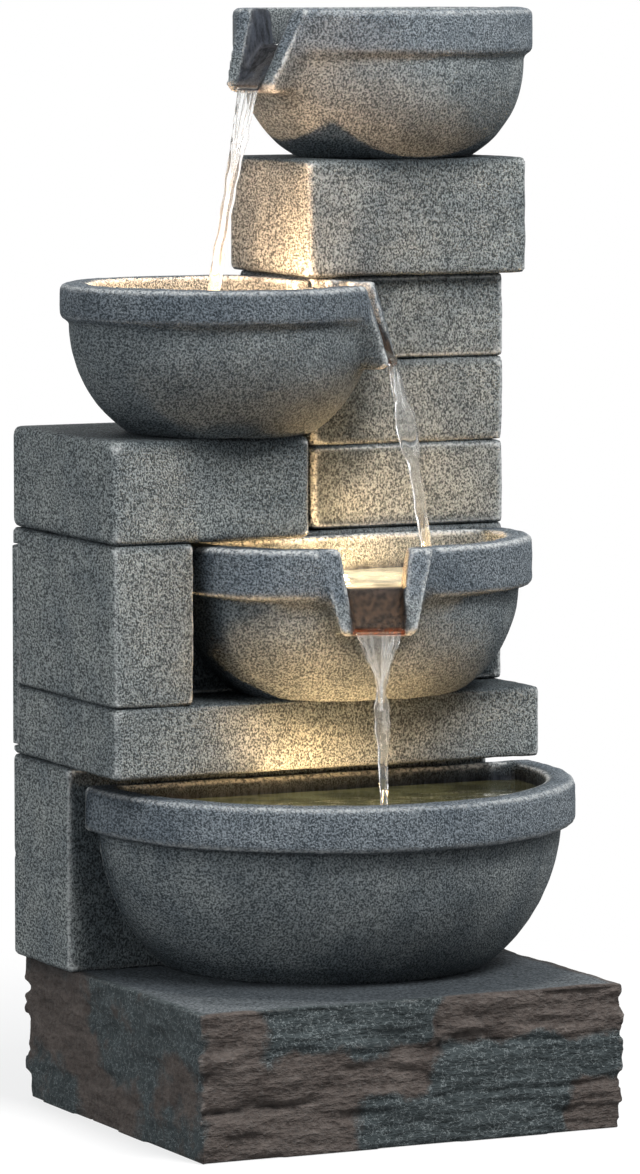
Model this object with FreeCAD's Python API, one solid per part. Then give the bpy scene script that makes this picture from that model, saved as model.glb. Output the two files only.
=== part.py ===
"""Four-bowl tiered fountain: cast-stone blocks and bowls, with a pump, riser and lights inside.

Millimetres. +Z is up, the front faces -Y, and the origin is the centre of the plinth's underside.
"""
import FreeCAD, Part
import math
import os

from FreeCAD import Vector

# How far a cutter runs past the face that it opens
overcut = 1.0

# Plinth
plinth_width = 420.0
plinth_depth = 390.0
plinth_height = 131.0
plinth_wall = 16.0
plinth_rib = 18.0
stratum_count = 7
stratum_unevenness = 0.3
slate_relief = 5.0
slate_facet = 52.0

# Stacked blocks, each setback measured from the plinth's front
left_overhang = 6.0
rear_overhang = 8.0
wall_setback = 271.0
wall_height = 187.0
slab_setback = 166.0
slab_thickness = 64.0
pillar_width = 78.0
pillar_height = 145.0
cap_gap = 37.0
cap_height = 93.0
column_setback = 240.0
column_width = 196.0
course_height = 77.0
course_count = 3
top_block_height = 106.0
top_block_overhang_front = 12.0
top_block_overhang_left = 9.0
top_block_overhang_right = 17.0
block_wall = 16.0
block_roof = 14.0
edge_round = 4.0
cap_round = 7.0
score_height = 4.0
score_depth = 2.5
score_length = 80.0

# Bowls
bowl_wall = 13.0
bowl_floor = 14.0
rim_edge = 6.0
rim_inner_edge = 4.0
top_bowl_radius = 138.0
top_bowl_height = 136.0
top_bowl_rim = 41.0
top_bowl_foot = 80.0
left_bowl_radius = 144.5
left_bowl_height = 135.0
left_bowl_rim = 32.0
left_bowl_foot = 82.0
middle_bowl_radius = 171.0
middle_bowl_depth = 135.0
middle_bowl_height = 141.0
middle_bowl_rim = 45.0
middle_bowl_foot = 101.0
basin_radius = 228.0
basin_height = 170.0
basin_rim = 41.0
basin_foot = 148.0
rim_wall = 27.0
rim_step = 8.0
wide_rim_step = 13.0
belly_bulge = 16.0
bowl_gap = 0.5

# Bowl axes: the top bowl's from the body's right and rear, the left bowl's from the column's corner,
# the middle bowl's from the pillar and the wall behind it, the basin's from the plinth's left edge
# and the wall
top_bowl_inset = 90.0
top_bowl_ahead = 87.0
left_bowl_aside = 93.0
left_bowl_ahead = 3.0
middle_bowl_gap = 7.0
middle_bowl_ahead = 29.0
basin_inset = 238.0
basin_ahead = 31.0

# Spouts: each angle turned from -Y towards +X, the lip's reach past the rim, the water way's widths at
# the rim and the lip, and the outside's widths there, its brow and chin
top_spout_angle = -78.0
left_spout_angle = 58.0
middle_spout_angle = -17.0
top_spout_reach = 19.0
left_spout_reach = 13.0
middle_spout_reach = 20.0
top_spout_width = 58.0
top_spout_lip_width = 30.0
left_spout_width = 62.0
left_spout_lip_width = 40.0
middle_spout_width = 63.0
middle_spout_lip_width = 41.0
spout_brow_width = 106.0
spout_chin_width = 65.0
spout_drop = 76.0
spout_sill = 36.0
spout_lip = 5.0
spout_tip_round = 8.0

# Flow port between the basin and the tank
port_width = 80.0
port_height = 40.0
port_rise = 34.0
port_x = 170.0

# Rear door and the service chamber behind it
door_width = 306.0
door_thickness = 14.0
door_bottom_rise = 9.0
door_top_drop = 16.0
door_gap = 1.0
door_seat_gap = 0.3
door_lap = 20.0
finger_width = 70.0
finger_height = 14.0
finger_depth = 8.0
peg_radius = 3.0
peg_length = 16.0
peg_seat = 8.0
peg_inset = 36.0
peg_gap = 0.4

# Water line
riser_inset = 98.0
hose_bore = 16.0
hose_wall = 2.0
hose_hole_gap = 3.0
barb_length = 30.0
barb_gap = 0.1
barb_count = 3
clamp_width = 9.0
clamp_band = 1.2
clamp_offset = 10.0
clamp_screw_radius = 2.5
clamp_screw_length = 12.0
spigot_bore = 11.0
spigot_stem = 18.0
spigot_flange = 36.0
spigot_flange_thickness = 4.0
spigot_hole_gap = 0.5
gasket_thickness = 2.0
nut_across_flats = 27.0
nut_thickness = 8.0

# Pump, with its shaft along X
pump_length = 54.0
pump_width = 46.0
pump_height = 52.0
pump_round = 5.0
cup_radius = 8.0
cup_height = 8.0
cup_stem_radius = 3.0
cup_inset = 9.0
volute_radius = 22.0
volute_length = 22.0
volute_wall = 3.0
intake_radius = 8.0
rotor_radius = 9.0
rotor_length = 38.0
rotor_gap = 1.0
impeller_radius = 16.0
impeller_plate = 3.0
blade_count = 6
blade_height = 8.0
blade_thickness = 2.0
shaft_radius = 1.5
shaft_gap = 0.05
shaft_seat = 4.0
spider_width = 4.0
nozzle_radius = 8.0
nozzle_collar = 3.0
nozzle_collar_height = 4.0
strainer_length = 20.0
strainer_wall = 2.5
strainer_slot = 4.0
strainer_slot_pitch = 8.0
strainer_gap = 0.3
dial_radius = 11.0
dial_thickness = 5.0
dial_grip_height = 4.0
dial_grip_width = 4.0
dial_grip_inset = 1.0
dial_stem_radius = 3.0

# Lights, each place measured from its bowl's axis
light_radius = 17.0
light_height = 14.0
light_wall = 3.0
light_lens_rise = 3.0
light_lens_seat = 5.0
left_light = (45.0, -11.0)
middle_light = (-24.0, -6.0)
basin_light = (-42.0, -106.0)

# Cable outlet at the rear of the slab
grommet_x = 352.0
grommet_rise = 34.0
grommet_neck = 7.0
grommet_flange = 10.0
grommet_flange_thickness = 2.5
grommet_hole = 4.0
grommet_wall = 12.0
grommet_pocket = 40.0

# Planes and levels worked out from the sizes above
left_edge = -plinth_width / 2
right_edge = plinth_width / 2
front_edge = -plinth_depth / 2
body_left = left_edge - left_overhang
body_rear = plinth_depth / 2 + rear_overhang
wall_front = front_edge + wall_setback
slab_front = front_edge + slab_setback
column_front = front_edge + column_setback
column_left = right_edge - column_width
pillar_right = body_left + pillar_width
cap_right = column_left - cap_gap
slab_bottom = plinth_height + wall_height
slab_top = slab_bottom + slab_thickness
pillar_top = slab_top + pillar_height
cap_top = pillar_top + cap_height
column_top = pillar_top + course_count * course_height
top_block_top = column_top + top_block_height
riser = Vector(right_edge - riser_inset, (wall_front + body_rear) / 2, 0)
top_bowl_seat = Vector(right_edge - top_bowl_inset, body_rear - top_bowl_ahead, top_block_top)
left_bowl_seat = Vector(column_left - left_bowl_aside, column_front - left_bowl_ahead, cap_top)
middle_bowl_x = pillar_right + middle_bowl_gap + middle_bowl_radius
middle_bowl_seat = Vector(middle_bowl_x, column_front - middle_bowl_ahead, slab_top)
basin_seat = Vector(left_edge + basin_inset, wall_front - basin_ahead, plinth_height)

door_right = body_left + door_width
door_seat = body_rear - door_thickness
door_bottom = slab_bottom + door_bottom_rise
door_top = pillar_top - door_top_drop
chamber_left = body_left + block_wall + door_lap / 2
chamber_front = column_front + block_wall
chamber_rear = door_seat - block_wall
chamber_right = right_edge - block_wall
opening_right = door_right - door_lap
opening_bottom = door_bottom + door_lap
opening_top = door_top - door_lap

hose_outer = hose_bore / 2 + hose_wall
pump_base = plinth_height + block_roof + cup_height
shaft_height = pump_base + pump_height / 2
volute_left = riser.x - volute_length / 2
pump_left = volute_left + volute_length
rotor_end = pump_left + rotor_length
well_end = rotor_end + rotor_gap
nozzle_base = shaft_height + volute_radius
nozzle_top = nozzle_base + nozzle_collar_height + barb_length
spigot_floor = top_block_top + bowl_floor
nut_top = top_block_top - block_roof
spigot_shoulder = nut_top - 2 * nut_thickness
hose_bottom = nozzle_base + nozzle_collar_height
hose_top = spigot_shoulder


def span(low, high):
    """Box between two corners."""
    size = Vector(*high) - Vector(*low)
    return Part.makeBox(size.x, size.y, size.z, Vector(*low))


def rounded(low, high, radius):
    """Box between two corners with worn, rounded edges."""
    solid = span(low, high)
    return solid.makeFillet(radius, solid.Edges)


def drum(radius, start, end):
    """Cylinder from one point to another."""
    axis = end - start
    return Part.makeCylinder(radius, axis.Length, start, axis)


def ring(outer, inner, start, end):
    """Tube from one point to another."""
    axis = (end - start).normalize()
    return drum(outer, start, end).cut(drum(inner, start - axis, end + axis))


def on_riser(z):
    """Point on the riser's upright axis."""
    return riser + Vector(0, 0, z)


def on_shaft(x):
    """Point on the pump's shaft axis."""
    return Vector(x, riser.y, shaft_height)


def polygon(points):
    """Face bounded by straight edges."""
    corners = [Vector(*p) for p in points]
    return Part.Face(Part.makePolygon(corners + corners[:1]))


def bulged(start, end, bulge):
    """Arc between two profile points, bowed outward and down by the bulge."""
    chord = end - start
    normal = Vector(chord.z, 0, -chord.x).normalize()
    return Part.Arc(start, (start + end) / 2 + normal * bulge, end)


def corner(start, centre, end):
    """Quarter arc between two profile points about a centre."""
    middle = (start - centre) + (end - centre)
    radius = (start - centre).Length
    return Part.Arc(start, centre + middle.normalize() * radius, end)


def line(start, end):
    return Part.LineSegment(start, end)


def profile(curves):
    """Closed profile in the XZ plane, to the right of the Z axis."""
    return Part.Face(Part.Wire([curve.toShape() for curve in curves]))


def round_form(half):
    """Full turn of a profile about Z."""
    return half.revolve(Vector(0, 0, 0), Vector(0, 0, 1), 360)


def half_round_form(half, ratio, straight):
    """Half turn of a profile, flattened by the ratio, with straight sides running back from it."""
    other = half.mirror(Vector(0, 0, 0), Vector(1, 0, 0))
    nose = other.revolve(Vector(0, 0, 0), Vector(0, 0, 1), 180)
    flatten = FreeCAD.Matrix()
    flatten.scale(1, ratio, 1)
    sides = [face.extrude(Vector(0, straight, 0)) for face in (half, other)]
    return nose.transformGeometry(flatten).fuse(sides).removeSplitter()


def outer_profile(radius, height, rim, foot, step):
    """Bowl's outside: flat foot, bulging belly, and a proud band round the rim."""
    under = height - rim
    points = [
        Vector(0, 0, 0), Vector(foot, 0, 0), Vector(radius - step, 0, under),
        Vector(radius - rim_edge, 0, under), Vector(radius, 0, under + rim_edge),
        Vector(radius, 0, height - rim_edge), Vector(radius - rim_edge, 0, height), Vector(0, 0, height),
    ]
    return profile([
        line(points[0], points[1]),
        bulged(points[1], points[2], belly_bulge),
        line(points[2], points[3]),
        corner(points[3], Vector(radius - rim_edge, 0, under + rim_edge), points[4]),
        line(points[4], points[5]),
        corner(points[5], Vector(radius - rim_edge, 0, height - rim_edge), points[6]),
        line(points[6], points[7]),
        line(points[7], points[0]),
    ])


def inner_profile(radius, height, rim, foot):
    """Bowl's hollow, following the belly, with a softened edge at the rim."""
    mouth = radius - rim_wall
    above = height + rim_edge
    points = [
        Vector(0, 0, bowl_floor), Vector(foot - bowl_wall / 2, 0, bowl_floor),
        Vector(mouth, 0, height - rim), Vector(mouth, 0, height - rim_inner_edge),
        Vector(mouth + rim_inner_edge, 0, height), Vector(mouth + rim_inner_edge, 0, above),
        Vector(0, 0, above),
    ]
    return profile([
        line(points[0], points[1]),
        bulged(points[1], points[2], belly_bulge),
        line(points[2], points[3]),
        corner(points[3], Vector(mouth + rim_inner_edge, 0, height - rim_inner_edge), points[4]),
        line(points[4], points[5]),
        line(points[5], points[6]),
        line(points[6], points[0]),
    ])


def taper(top_width, lip_width, height, reach):
    """Prism along X whose front is a trapezoid, wide at the rim and narrow at the lip."""
    top_half = top_width / 2
    lip_half = lip_width / 2
    low = height - spout_drop
    slope = (top_half - lip_half) / spout_drop
    above = height + rim_edge
    face = polygon([
        (0, -lip_half, low), (0, lip_half, low),
        (0, top_half + slope * rim_edge, above), (0, -top_half - slope * rim_edge, above),
    ])
    return face.extrude(Vector(reach, 0, 0))


def spout_block(radius, curve, height, tip):
    """Cheeks and floor of a spout, and the piece of the rim in front of them that is cut away.

    The front leans outward from the rim's chord at the brow to a rounded lip.
    """
    low = height - spout_drop
    inner = radius - 2 * rim_wall
    chord = radius - curve + math.sqrt(curve ** 2 - (spout_brow_width / 2) ** 2)
    lean = (tip - chord) / spout_drop
    above = height + rim_edge
    cheek = polygon([(inner, 0, above), (chord - lean * rim_edge, 0, above), (tip, 0, low), (inner, 0, low)])
    side = cheek.extrude(Vector(0, 2 * spout_brow_width, 0))
    side.translate(Vector(0, -spout_brow_width, 0))
    across = [edge for edge in side.Edges if edge.BoundBox.YLength > spout_brow_width]
    side = side.makeFillet(spout_tip_round, [edge for edge in across if edge.BoundBox.XMin > tip - 0.01])
    front = taper(spout_brow_width, spout_chin_width, height, tip + rim_wall)
    along = [edge for edge in front.Edges if edge.BoundBox.XLength > tip]
    front = front.makeFillet(spout_tip_round, [edge for edge in along if edge.BoundBox.ZMax < low + 0.01])
    below_rim = span((0, -tip, 0), (2 * tip, tip, height))
    return side.common(front).common(below_rim), front.cut(side)


def spout_channel(radius, height, tip, width, lip_width):
    """Water way through the rim: a level sill, then a chute down to the lip."""
    sill = height - spout_sill
    inner = radius - 2 * rim_wall
    brink = radius - rim_wall / 2
    lip_floor = height - spout_drop + spout_lip
    beyond = tip + rim_wall
    fall = (sill - lip_floor) / (tip - brink)
    above = height + rim_edge
    way = polygon([
        (inner, 0, above), (inner, 0, sill), (brink, 0, sill),
        (beyond, 0, sill - fall * (beyond - brink)), (beyond, 0, above),
    ])
    side = way.extrude(Vector(0, 2 * width, 0))
    side.translate(Vector(0, -width, 0))
    return side.common(taper(width, lip_width, height, beyond))


def spout(radius, curve, height, reach, width, lip_width):
    """The forms of a spout along +X: what is added, what is trimmed off the rim, and the water way."""
    tip = radius + reach
    block, trimming = spout_block(radius, curve, height, tip)
    return block, trimming, spout_channel(radius, height, tip, width, lip_width)


def turned(shape, angle):
    """Turn a form that points along +X to a spout angle."""
    return shape.rotate(Vector(0, 0, 0), Vector(0, 0, 1), angle - 90)


def bowl(outside, hollow, spout, angle, seat, outer_cut, inner_cut):
    """Bowl with a pouring spout, trimmed where it meets the masonry."""
    block, trimming, channel = (turned(form, angle) for form in spout)
    body = outside.cut(trimming).fuse(block)
    shell = body.translate(seat).cut(outer_cut)
    water = hollow.translate(seat).cut(inner_cut)
    return shell.cut(water).cut(channel.translate(seat)).removeSplitter()


def beyond_plane(y):
    """Everything behind a vertical plane, for trimming a bowl's back."""
    size = 4 * plinth_width
    return span((-size, y, -size), (size, y + size, size))


def slate_setback(stratum, step):
    """Repeatable set-back of one corner of the split slate, from nothing to the full relief."""
    return slate_relief * (1 + math.sin(2.7 * stratum + 1.9 * step + math.sin(1.3 * stratum * step))) / 2


def stratum_level(index):
    """Height of the underside of one stratum; the strata are of uneven thickness."""
    sway = stratum_unevenness * math.sin(4 * math.pi * index / stratum_count)
    return plinth_height * (index + sway) / stratum_count


def slate_stratum(index):
    """One stratum of split slate, its four sides broken into uneven facets."""
    corners = [
        Vector(left_edge, front_edge, 0), Vector(right_edge, front_edge, 0),
        Vector(right_edge, -front_edge, 0), Vector(left_edge, -front_edge, 0),
    ]
    points = []
    for start, end in zip(corners, corners[1:] + corners[:1]):
        side = end - start
        along = Vector(side).normalize()
        inward = Vector(-along.y, along.x, 0)
        facets = max(2, round(side.Length / slate_facet))
        for step in range(facets):
            setback = slate_setback(index, len(points))
            drift = setback if step == 0 else setback - slate_relief
            points.append(start + side * step / facets + along * drift + inward * setback)
    low = Vector(0, 0, stratum_level(index))
    high = Vector(0, 0, stratum_level(index + 1))
    return polygon([point + low for point in points]).extrude(high - low)


def make_plinth():
    """Base block of split-slate strata, hollow below on both sides of a middle rib."""
    strata = [slate_stratum(index) for index in range(stratum_count)]
    shell = strata[0].fuse(strata[1:])
    inner = right_edge - plinth_wall
    for low, high in ((-inner, -plinth_rib / 2), (plinth_rib / 2, inner)):
        shell = shell.cut(span(
            (low, front_edge + plinth_wall, -plinth_wall),
            (high, -front_edge - plinth_wall, plinth_height - plinth_wall),
        ))
    return shell


def flow_port():
    """Slot that lets water pass from the basin to the tank."""
    x = left_edge + port_x
    z = plinth_height + port_rise
    return span(
        (x - port_width / 2, wall_front - 2 * block_wall, z),
        (x + port_width / 2, wall_front + 2 * block_wall, z + port_height),
    )


def make_sump_block():
    """Recessed lower wall, an open-topped tank for the pump."""
    block = rounded(
        (body_left, wall_front, plinth_height), (right_edge, body_rear, slab_bottom), edge_round,
    )
    tank = span(
        (body_left + block_wall, wall_front + block_wall, plinth_height + block_roof),
        (right_edge - block_wall, body_rear - block_wall, slab_bottom + block_roof),
    )
    middle = plinth_height + wall_height / 2
    score = span(
        (body_left - score_depth, body_rear - score_length, middle - score_height / 2),
        (body_left + score_depth, body_rear + score_depth, middle + score_height / 2),
    )
    return block.cut(tank).cut(flow_port()).cut(score)


def make_lower_basin():
    """Half-round basin on the plinth, closed at the back by its own wall."""
    size = (basin_radius, basin_height, basin_rim, basin_foot)
    outside = half_round_form(outer_profile(*size, wide_rim_step), 1, basin_ahead)
    hollow = half_round_form(inner_profile(*size), 1, basin_ahead - bowl_wall)
    return outside.translate(basin_seat).cut(hollow.translate(basin_seat)).cut(flow_port())


def door_rebate():
    """Recess in the rear of the slab, pillar and back wall that takes the door."""
    return span(
        (body_left - door_gap, door_seat, door_bottom - door_gap),
        (door_right + door_gap, body_rear + door_gap, door_top + door_gap),
    )


def door_opening():
    """Way through the rear wall into the service chamber."""
    return span((chamber_left, chamber_rear, opening_bottom), (opening_right, door_seat, opening_top))


def peg_points():
    """Places of the door's two locating pegs, on the rear faces of the pillar and back wall."""
    z = (opening_top + door_top) / 2
    return [Vector(body_left + peg_inset, door_seat, z), Vector(door_right - peg_inset, door_seat, z)]


def peg_holes(gap):
    """Cutters for the pegs, from their seats in the wall to their ends in the door."""
    return [
        drum(peg_radius + gap, p - Vector(0, peg_seat, 0), p + Vector(0, peg_length - peg_seat + gap, 0))
        for p in peg_points()
    ]


def make_ledge_slab():
    """Slab over the tank, with a well for hand and hose and a pocket for the cable outlet."""
    slab = rounded((body_left, slab_front, slab_bottom), (right_edge, body_rear, slab_top), edge_round)
    well = span(
        (chamber_left, wall_front + block_wall, slab_bottom - block_roof),
        (chamber_right, chamber_rear, slab_top + block_roof),
    )
    outlet = grommet_point()
    pocket = span(
        (outlet.x - grommet_pocket / 2, chamber_rear, outlet.z - grommet_pocket / 2),
        (outlet.x + grommet_pocket / 2, body_rear - grommet_wall, slab_top + block_roof),
    )
    hole = drum(grommet_neck, outlet - Vector(0, grommet_wall, 0), outlet + Vector(0, grommet_wall, 0))
    return slab.cut(well).cut(door_rebate()).cut(door_opening()).cut(pocket).cut(hole)


def make_left_pillar():
    """Pillar whose rear is hollowed into the service chamber."""
    pillar = rounded(
        (body_left, slab_front, slab_top), (pillar_right, body_rear, pillar_top), edge_round,
    )
    chamber = span(
        (chamber_left, chamber_front, slab_top - block_roof),
        (pillar_right + block_wall, chamber_rear, opening_top),
    )
    pillar = pillar.cut(chamber).cut(door_rebate()).cut(door_opening())
    return pillar.cut(peg_holes(0)[0])


def make_back_wall():
    """Wide course behind the middle bowl, hollow, with a roof that the riser passes through."""
    wall = rounded(
        (pillar_right, column_front, slab_top), (right_edge, body_rear, pillar_top), edge_round,
    )
    chamber = span(
        (pillar_right - block_wall, chamber_front, slab_top - block_roof),
        (chamber_right, chamber_rear, opening_top),
    )
    hole = drum(hose_outer + hose_hole_gap, riser, on_riser(column_top))
    wall = wall.cut(chamber).cut(door_rebate()).cut(door_opening()).cut(hole)
    return wall.cut(peg_holes(0)[1])


def make_cap_block():
    """Block on the pillar, hollow above it."""
    block = rounded((body_left, slab_front, pillar_top), (cap_right, body_rear, cap_top), cap_round)
    hollow = span(
        (body_left + block_wall, slab_front + block_wall, pillar_top - block_roof),
        (pillar_right - block_wall, body_rear - block_wall, cap_top - block_roof),
    )
    return block.cut(hollow)


def make_course(index):
    """One hollow course of the column."""
    base = pillar_top + index * course_height
    top = base + course_height
    block = rounded((column_left, column_front, base), (right_edge, body_rear, top), edge_round)
    bore = span(
        (column_left + block_wall, column_front + block_wall, base - block_wall),
        (right_edge - block_wall, body_rear - block_wall, top + block_wall),
    )
    return block.cut(bore)


def make_top_block():
    """Overhanging block on the column, hollow below, with a roof that the spigot passes through."""
    block = rounded(
        (column_left - top_block_overhang_left, column_front - top_block_overhang_front, column_top),
        (right_edge + top_block_overhang_right, body_rear, top_block_top), edge_round,
    )
    hollow = span(
        (column_left + block_wall, column_front + block_wall, column_top - block_wall),
        (right_edge - block_wall, body_rear - block_wall, top_block_top - block_roof),
    )
    hole = drum(spigot_stem / 2 + spigot_hole_gap, riser, on_riser(top_block_top + block_roof))
    return block.cut(hollow).cut(hole)


def make_top_bowl():
    """Bowl on the top block, trimmed flush with the rear, pouring to the left."""
    size = (top_bowl_radius, top_bowl_height, top_bowl_rim, top_bowl_foot)
    shell = bowl(
        round_form(outer_profile(*size, rim_step)), round_form(inner_profile(*size)),
        spout(
            top_bowl_radius, top_bowl_radius, top_bowl_height,
            top_spout_reach, top_spout_width, top_spout_lip_width,
        ), top_spout_angle, top_bowl_seat,
        beyond_plane(body_rear), beyond_plane(body_rear - bowl_wall),
    )
    hole = drum(spigot_stem / 2 + spigot_hole_gap, riser, on_riser(spigot_floor + bowl_floor))
    return shell.cut(hole)


def column_corner(gap):
    """The column's solid extent, for letting the left bowl round its corner."""
    size = 2 * plinth_width
    return span((column_left - gap, column_front - gap, cap_top - size), (size, size, column_top))


def make_left_bowl():
    """Bowl on the cap block, notched round the column's corner, pouring to the right."""
    size = (left_bowl_radius, left_bowl_height, left_bowl_rim, left_bowl_foot)
    return bowl(
        round_form(outer_profile(*size, rim_step)), round_form(inner_profile(*size)),
        spout(
            left_bowl_radius, left_bowl_radius, left_bowl_height,
            left_spout_reach, left_spout_width, left_spout_lip_width,
        ), left_spout_angle, left_bowl_seat,
        column_corner(bowl_gap), column_corner(bowl_gap + bowl_wall),
    )


def make_middle_bowl():
    """Bowl on the slab against the back wall, pouring forward into the basin."""
    size = (middle_bowl_radius, middle_bowl_height, middle_bowl_rim, middle_bowl_foot)
    ratio = middle_bowl_depth / middle_bowl_radius
    angle = math.radians(middle_spout_angle)
    aside = math.sin(angle) / middle_bowl_radius
    ahead = math.cos(angle) / middle_bowl_depth
    rim_distance = 1 / math.hypot(aside, ahead)
    rim_curve = middle_bowl_radius / ratio
    return bowl(
        half_round_form(outer_profile(*size, wide_rim_step), ratio, middle_bowl_ahead),
        half_round_form(inner_profile(*size), ratio, middle_bowl_ahead),
        spout(
            rim_distance, rim_curve, middle_bowl_height,
            middle_spout_reach, middle_spout_width, middle_spout_lip_width,
        ), middle_spout_angle, middle_bowl_seat,
        beyond_plane(column_front), beyond_plane(column_front - bowl_wall),
    )


def make_rear_door():
    """Lift-off access panel with a finger recess and two peg holes."""
    panel = span((body_left, door_seat + door_seat_gap, door_bottom), (door_right, body_rear, door_top))
    middle = (body_left + door_right) / 2
    recess = span(
        (middle - finger_width / 2, body_rear - finger_depth, door_top - door_lap - finger_height),
        (middle + finger_width / 2, body_rear + finger_depth, door_top - door_lap),
    )
    panel = panel.cut(recess)
    for cutter in peg_holes(peg_gap):
        panel = panel.cut(cutter)
    return panel


def make_riser_hose():
    """Straight hose from the pump's nozzle to the top bowl's spigot."""
    return ring(hose_outer, hose_bore / 2, on_riser(hose_bottom), on_riser(hose_top))


def make_hose_clamp(middle):
    """Band round the hose with its screw barrel."""
    half = Vector(0, 0, clamp_width / 2)
    band = ring(hose_outer + clamp_band, hose_outer, middle - half, middle + half)
    barrel = middle + Vector(hose_outer + clamp_band + clamp_screw_radius / 2, 0, 0)
    reach = Vector(0, clamp_screw_length / 2, 0)
    screw = drum(clamp_screw_radius, barrel - reach, barrel + reach)
    bore = drum(hose_outer, middle - half * 2, middle + half * 2)
    return band.fuse(screw.cut(bore))


def make_hose_clamps():
    """The two hose clamps."""
    levels = (hose_bottom + clamp_offset, hose_top - clamp_offset)
    return Part.makeCompound([make_hose_clamp(on_riser(z)) for z in levels])


def barbed(radius, start, end):
    """Hose tail with shallow barbs that stay inside the hose's bore."""
    pitch = (end.z - start.z) / barb_count
    tail = None
    for i in range(barb_count):
        low = start + Vector(0, 0, i * pitch)
        cone = Part.makeCone(radius, radius - hose_wall / 2, abs(pitch), low, Vector(0, 0, pitch))
        tail = cone if tail is None else tail.fuse(cone)
    return tail


def make_spigot():
    """Bulkhead fitting: flange in the bowl, stem through bowl and block, tail in the hose."""
    seat = spigot_floor + gasket_thickness
    top = seat + spigot_flange_thickness
    tail_end = spigot_shoulder - barb_length
    flange = drum(spigot_flange / 2, on_riser(seat), on_riser(top))
    stem = drum(spigot_stem / 2, on_riser(spigot_shoulder), on_riser(seat))
    tail = barbed(hose_bore / 2 - barb_gap, on_riser(spigot_shoulder), on_riser(tail_end))
    bore = drum(spigot_bore / 2, on_riser(tail_end - overcut), on_riser(top + overcut))
    return flange.fuse(stem).fuse(tail).cut(bore)


def make_spigot_gasket():
    """Rubber washer under the spigot's flange."""
    low = on_riser(spigot_floor)
    high = low + Vector(0, 0, gasket_thickness)
    return ring(spigot_flange / 2, spigot_stem / 2 + spigot_hole_gap, low, high)


def make_spigot_nut():
    """Hexagon nut under the top block's roof."""
    corner_radius = nut_across_flats / math.sqrt(3)
    points = []
    for i in range(6):
        angle = math.radians(60 * i)
        spoke = Vector(math.cos(angle), math.sin(angle), 0)
        points.append(on_riser(nut_top - nut_thickness) + spoke * corner_radius)
    blank = polygon(points).extrude(Vector(0, 0, nut_thickness))
    return blank.cut(drum(spigot_stem / 2, riser, on_riser(top_block_top)))


def make_pump_body():
    """Motor block with the rotor's well."""
    half = pump_width / 2
    body = rounded(
        (pump_left, riser.y - half, pump_base),
        (pump_left + pump_length, riser.y + half, pump_base + pump_height), pump_round,
    )
    well = drum(rotor_radius + rotor_gap, on_shaft(pump_left - overcut), on_shaft(well_end))
    seat = drum(shaft_radius, on_shaft(pump_left), on_shaft(well_end + shaft_seat))
    return body.cut(well).cut(seat)


def make_pump_volute():
    """Round pump chamber with an intake, a spider for the shaft and an outlet boss on top."""
    case = drum(volute_radius, on_shaft(volute_left), on_shaft(pump_left))
    foot = on_riser(shaft_height)
    outlet = drum(nozzle_radius + nozzle_collar, foot, on_riser(nozzle_base))
    inside = volute_left + volute_wall
    chamber = drum(volute_radius - volute_wall, on_shaft(inside), on_shaft(pump_left + overcut))
    bore = drum(nozzle_radius, foot, on_riser(nozzle_base + overcut))
    intake = drum(intake_radius, on_shaft(volute_left - overcut), on_shaft(inside))
    case = case.fuse(outlet).cut(chamber).cut(bore).cut(intake)
    spider = span(
        (volute_left, riser.y - spider_width / 2, shaft_height - intake_radius - overcut),
        (inside, riser.y + spider_width / 2, shaft_height + intake_radius + overcut),
    )
    seat = drum(shaft_radius, on_shaft(volute_left - overcut), on_shaft(inside + overcut))
    return case.fuse(spider).cut(seat)


def make_pump_shaft():
    """Fixed ceramic shaft that the rotor turns on."""
    return drum(shaft_radius, on_shaft(volute_left), on_shaft(well_end + shaft_seat))


def make_pump_impeller():
    """Magnet rotor and bladed impeller in one piece."""
    rotor = drum(rotor_radius, on_shaft(pump_left - rotor_gap), on_shaft(rotor_end))
    plate_left = pump_left - rotor_gap - impeller_plate
    plate = drum(impeller_radius, on_shaft(plate_left), on_shaft(pump_left - rotor_gap))
    impeller = rotor.fuse(plate)
    hub = drum(rotor_radius / 2, on_shaft(plate_left - blade_height), on_shaft(plate_left))
    impeller = impeller.fuse(hub)
    for i in range(blade_count):
        blade = span(
            (plate_left - blade_height, riser.y - blade_thickness / 2, shaft_height + rotor_radius / 3),
            (plate_left, riser.y + blade_thickness / 2, shaft_height + impeller_radius - rotor_gap),
        )
        blade.rotate(on_shaft(0), Vector(1, 0, 0), 360 * i / blade_count)
        impeller = impeller.fuse(blade)
    bore = drum(shaft_radius + shaft_gap, on_shaft(volute_left), on_shaft(rotor_end + overcut))
    return impeller.cut(bore)


def make_pump_nozzle():
    """Hose tail on the outlet boss."""
    base = on_riser(nozzle_base)
    shoulder = base + Vector(0, 0, nozzle_collar_height)
    collar = drum(nozzle_radius + nozzle_collar, base, shoulder)
    tail = barbed(hose_bore / 2 - barb_gap, shoulder, on_riser(nozzle_top))
    bore = drum(spigot_bore / 2, base - Vector(0, 0, overcut), on_riser(nozzle_top + overcut))
    return collar.fuse(tail).cut(bore)


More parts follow.
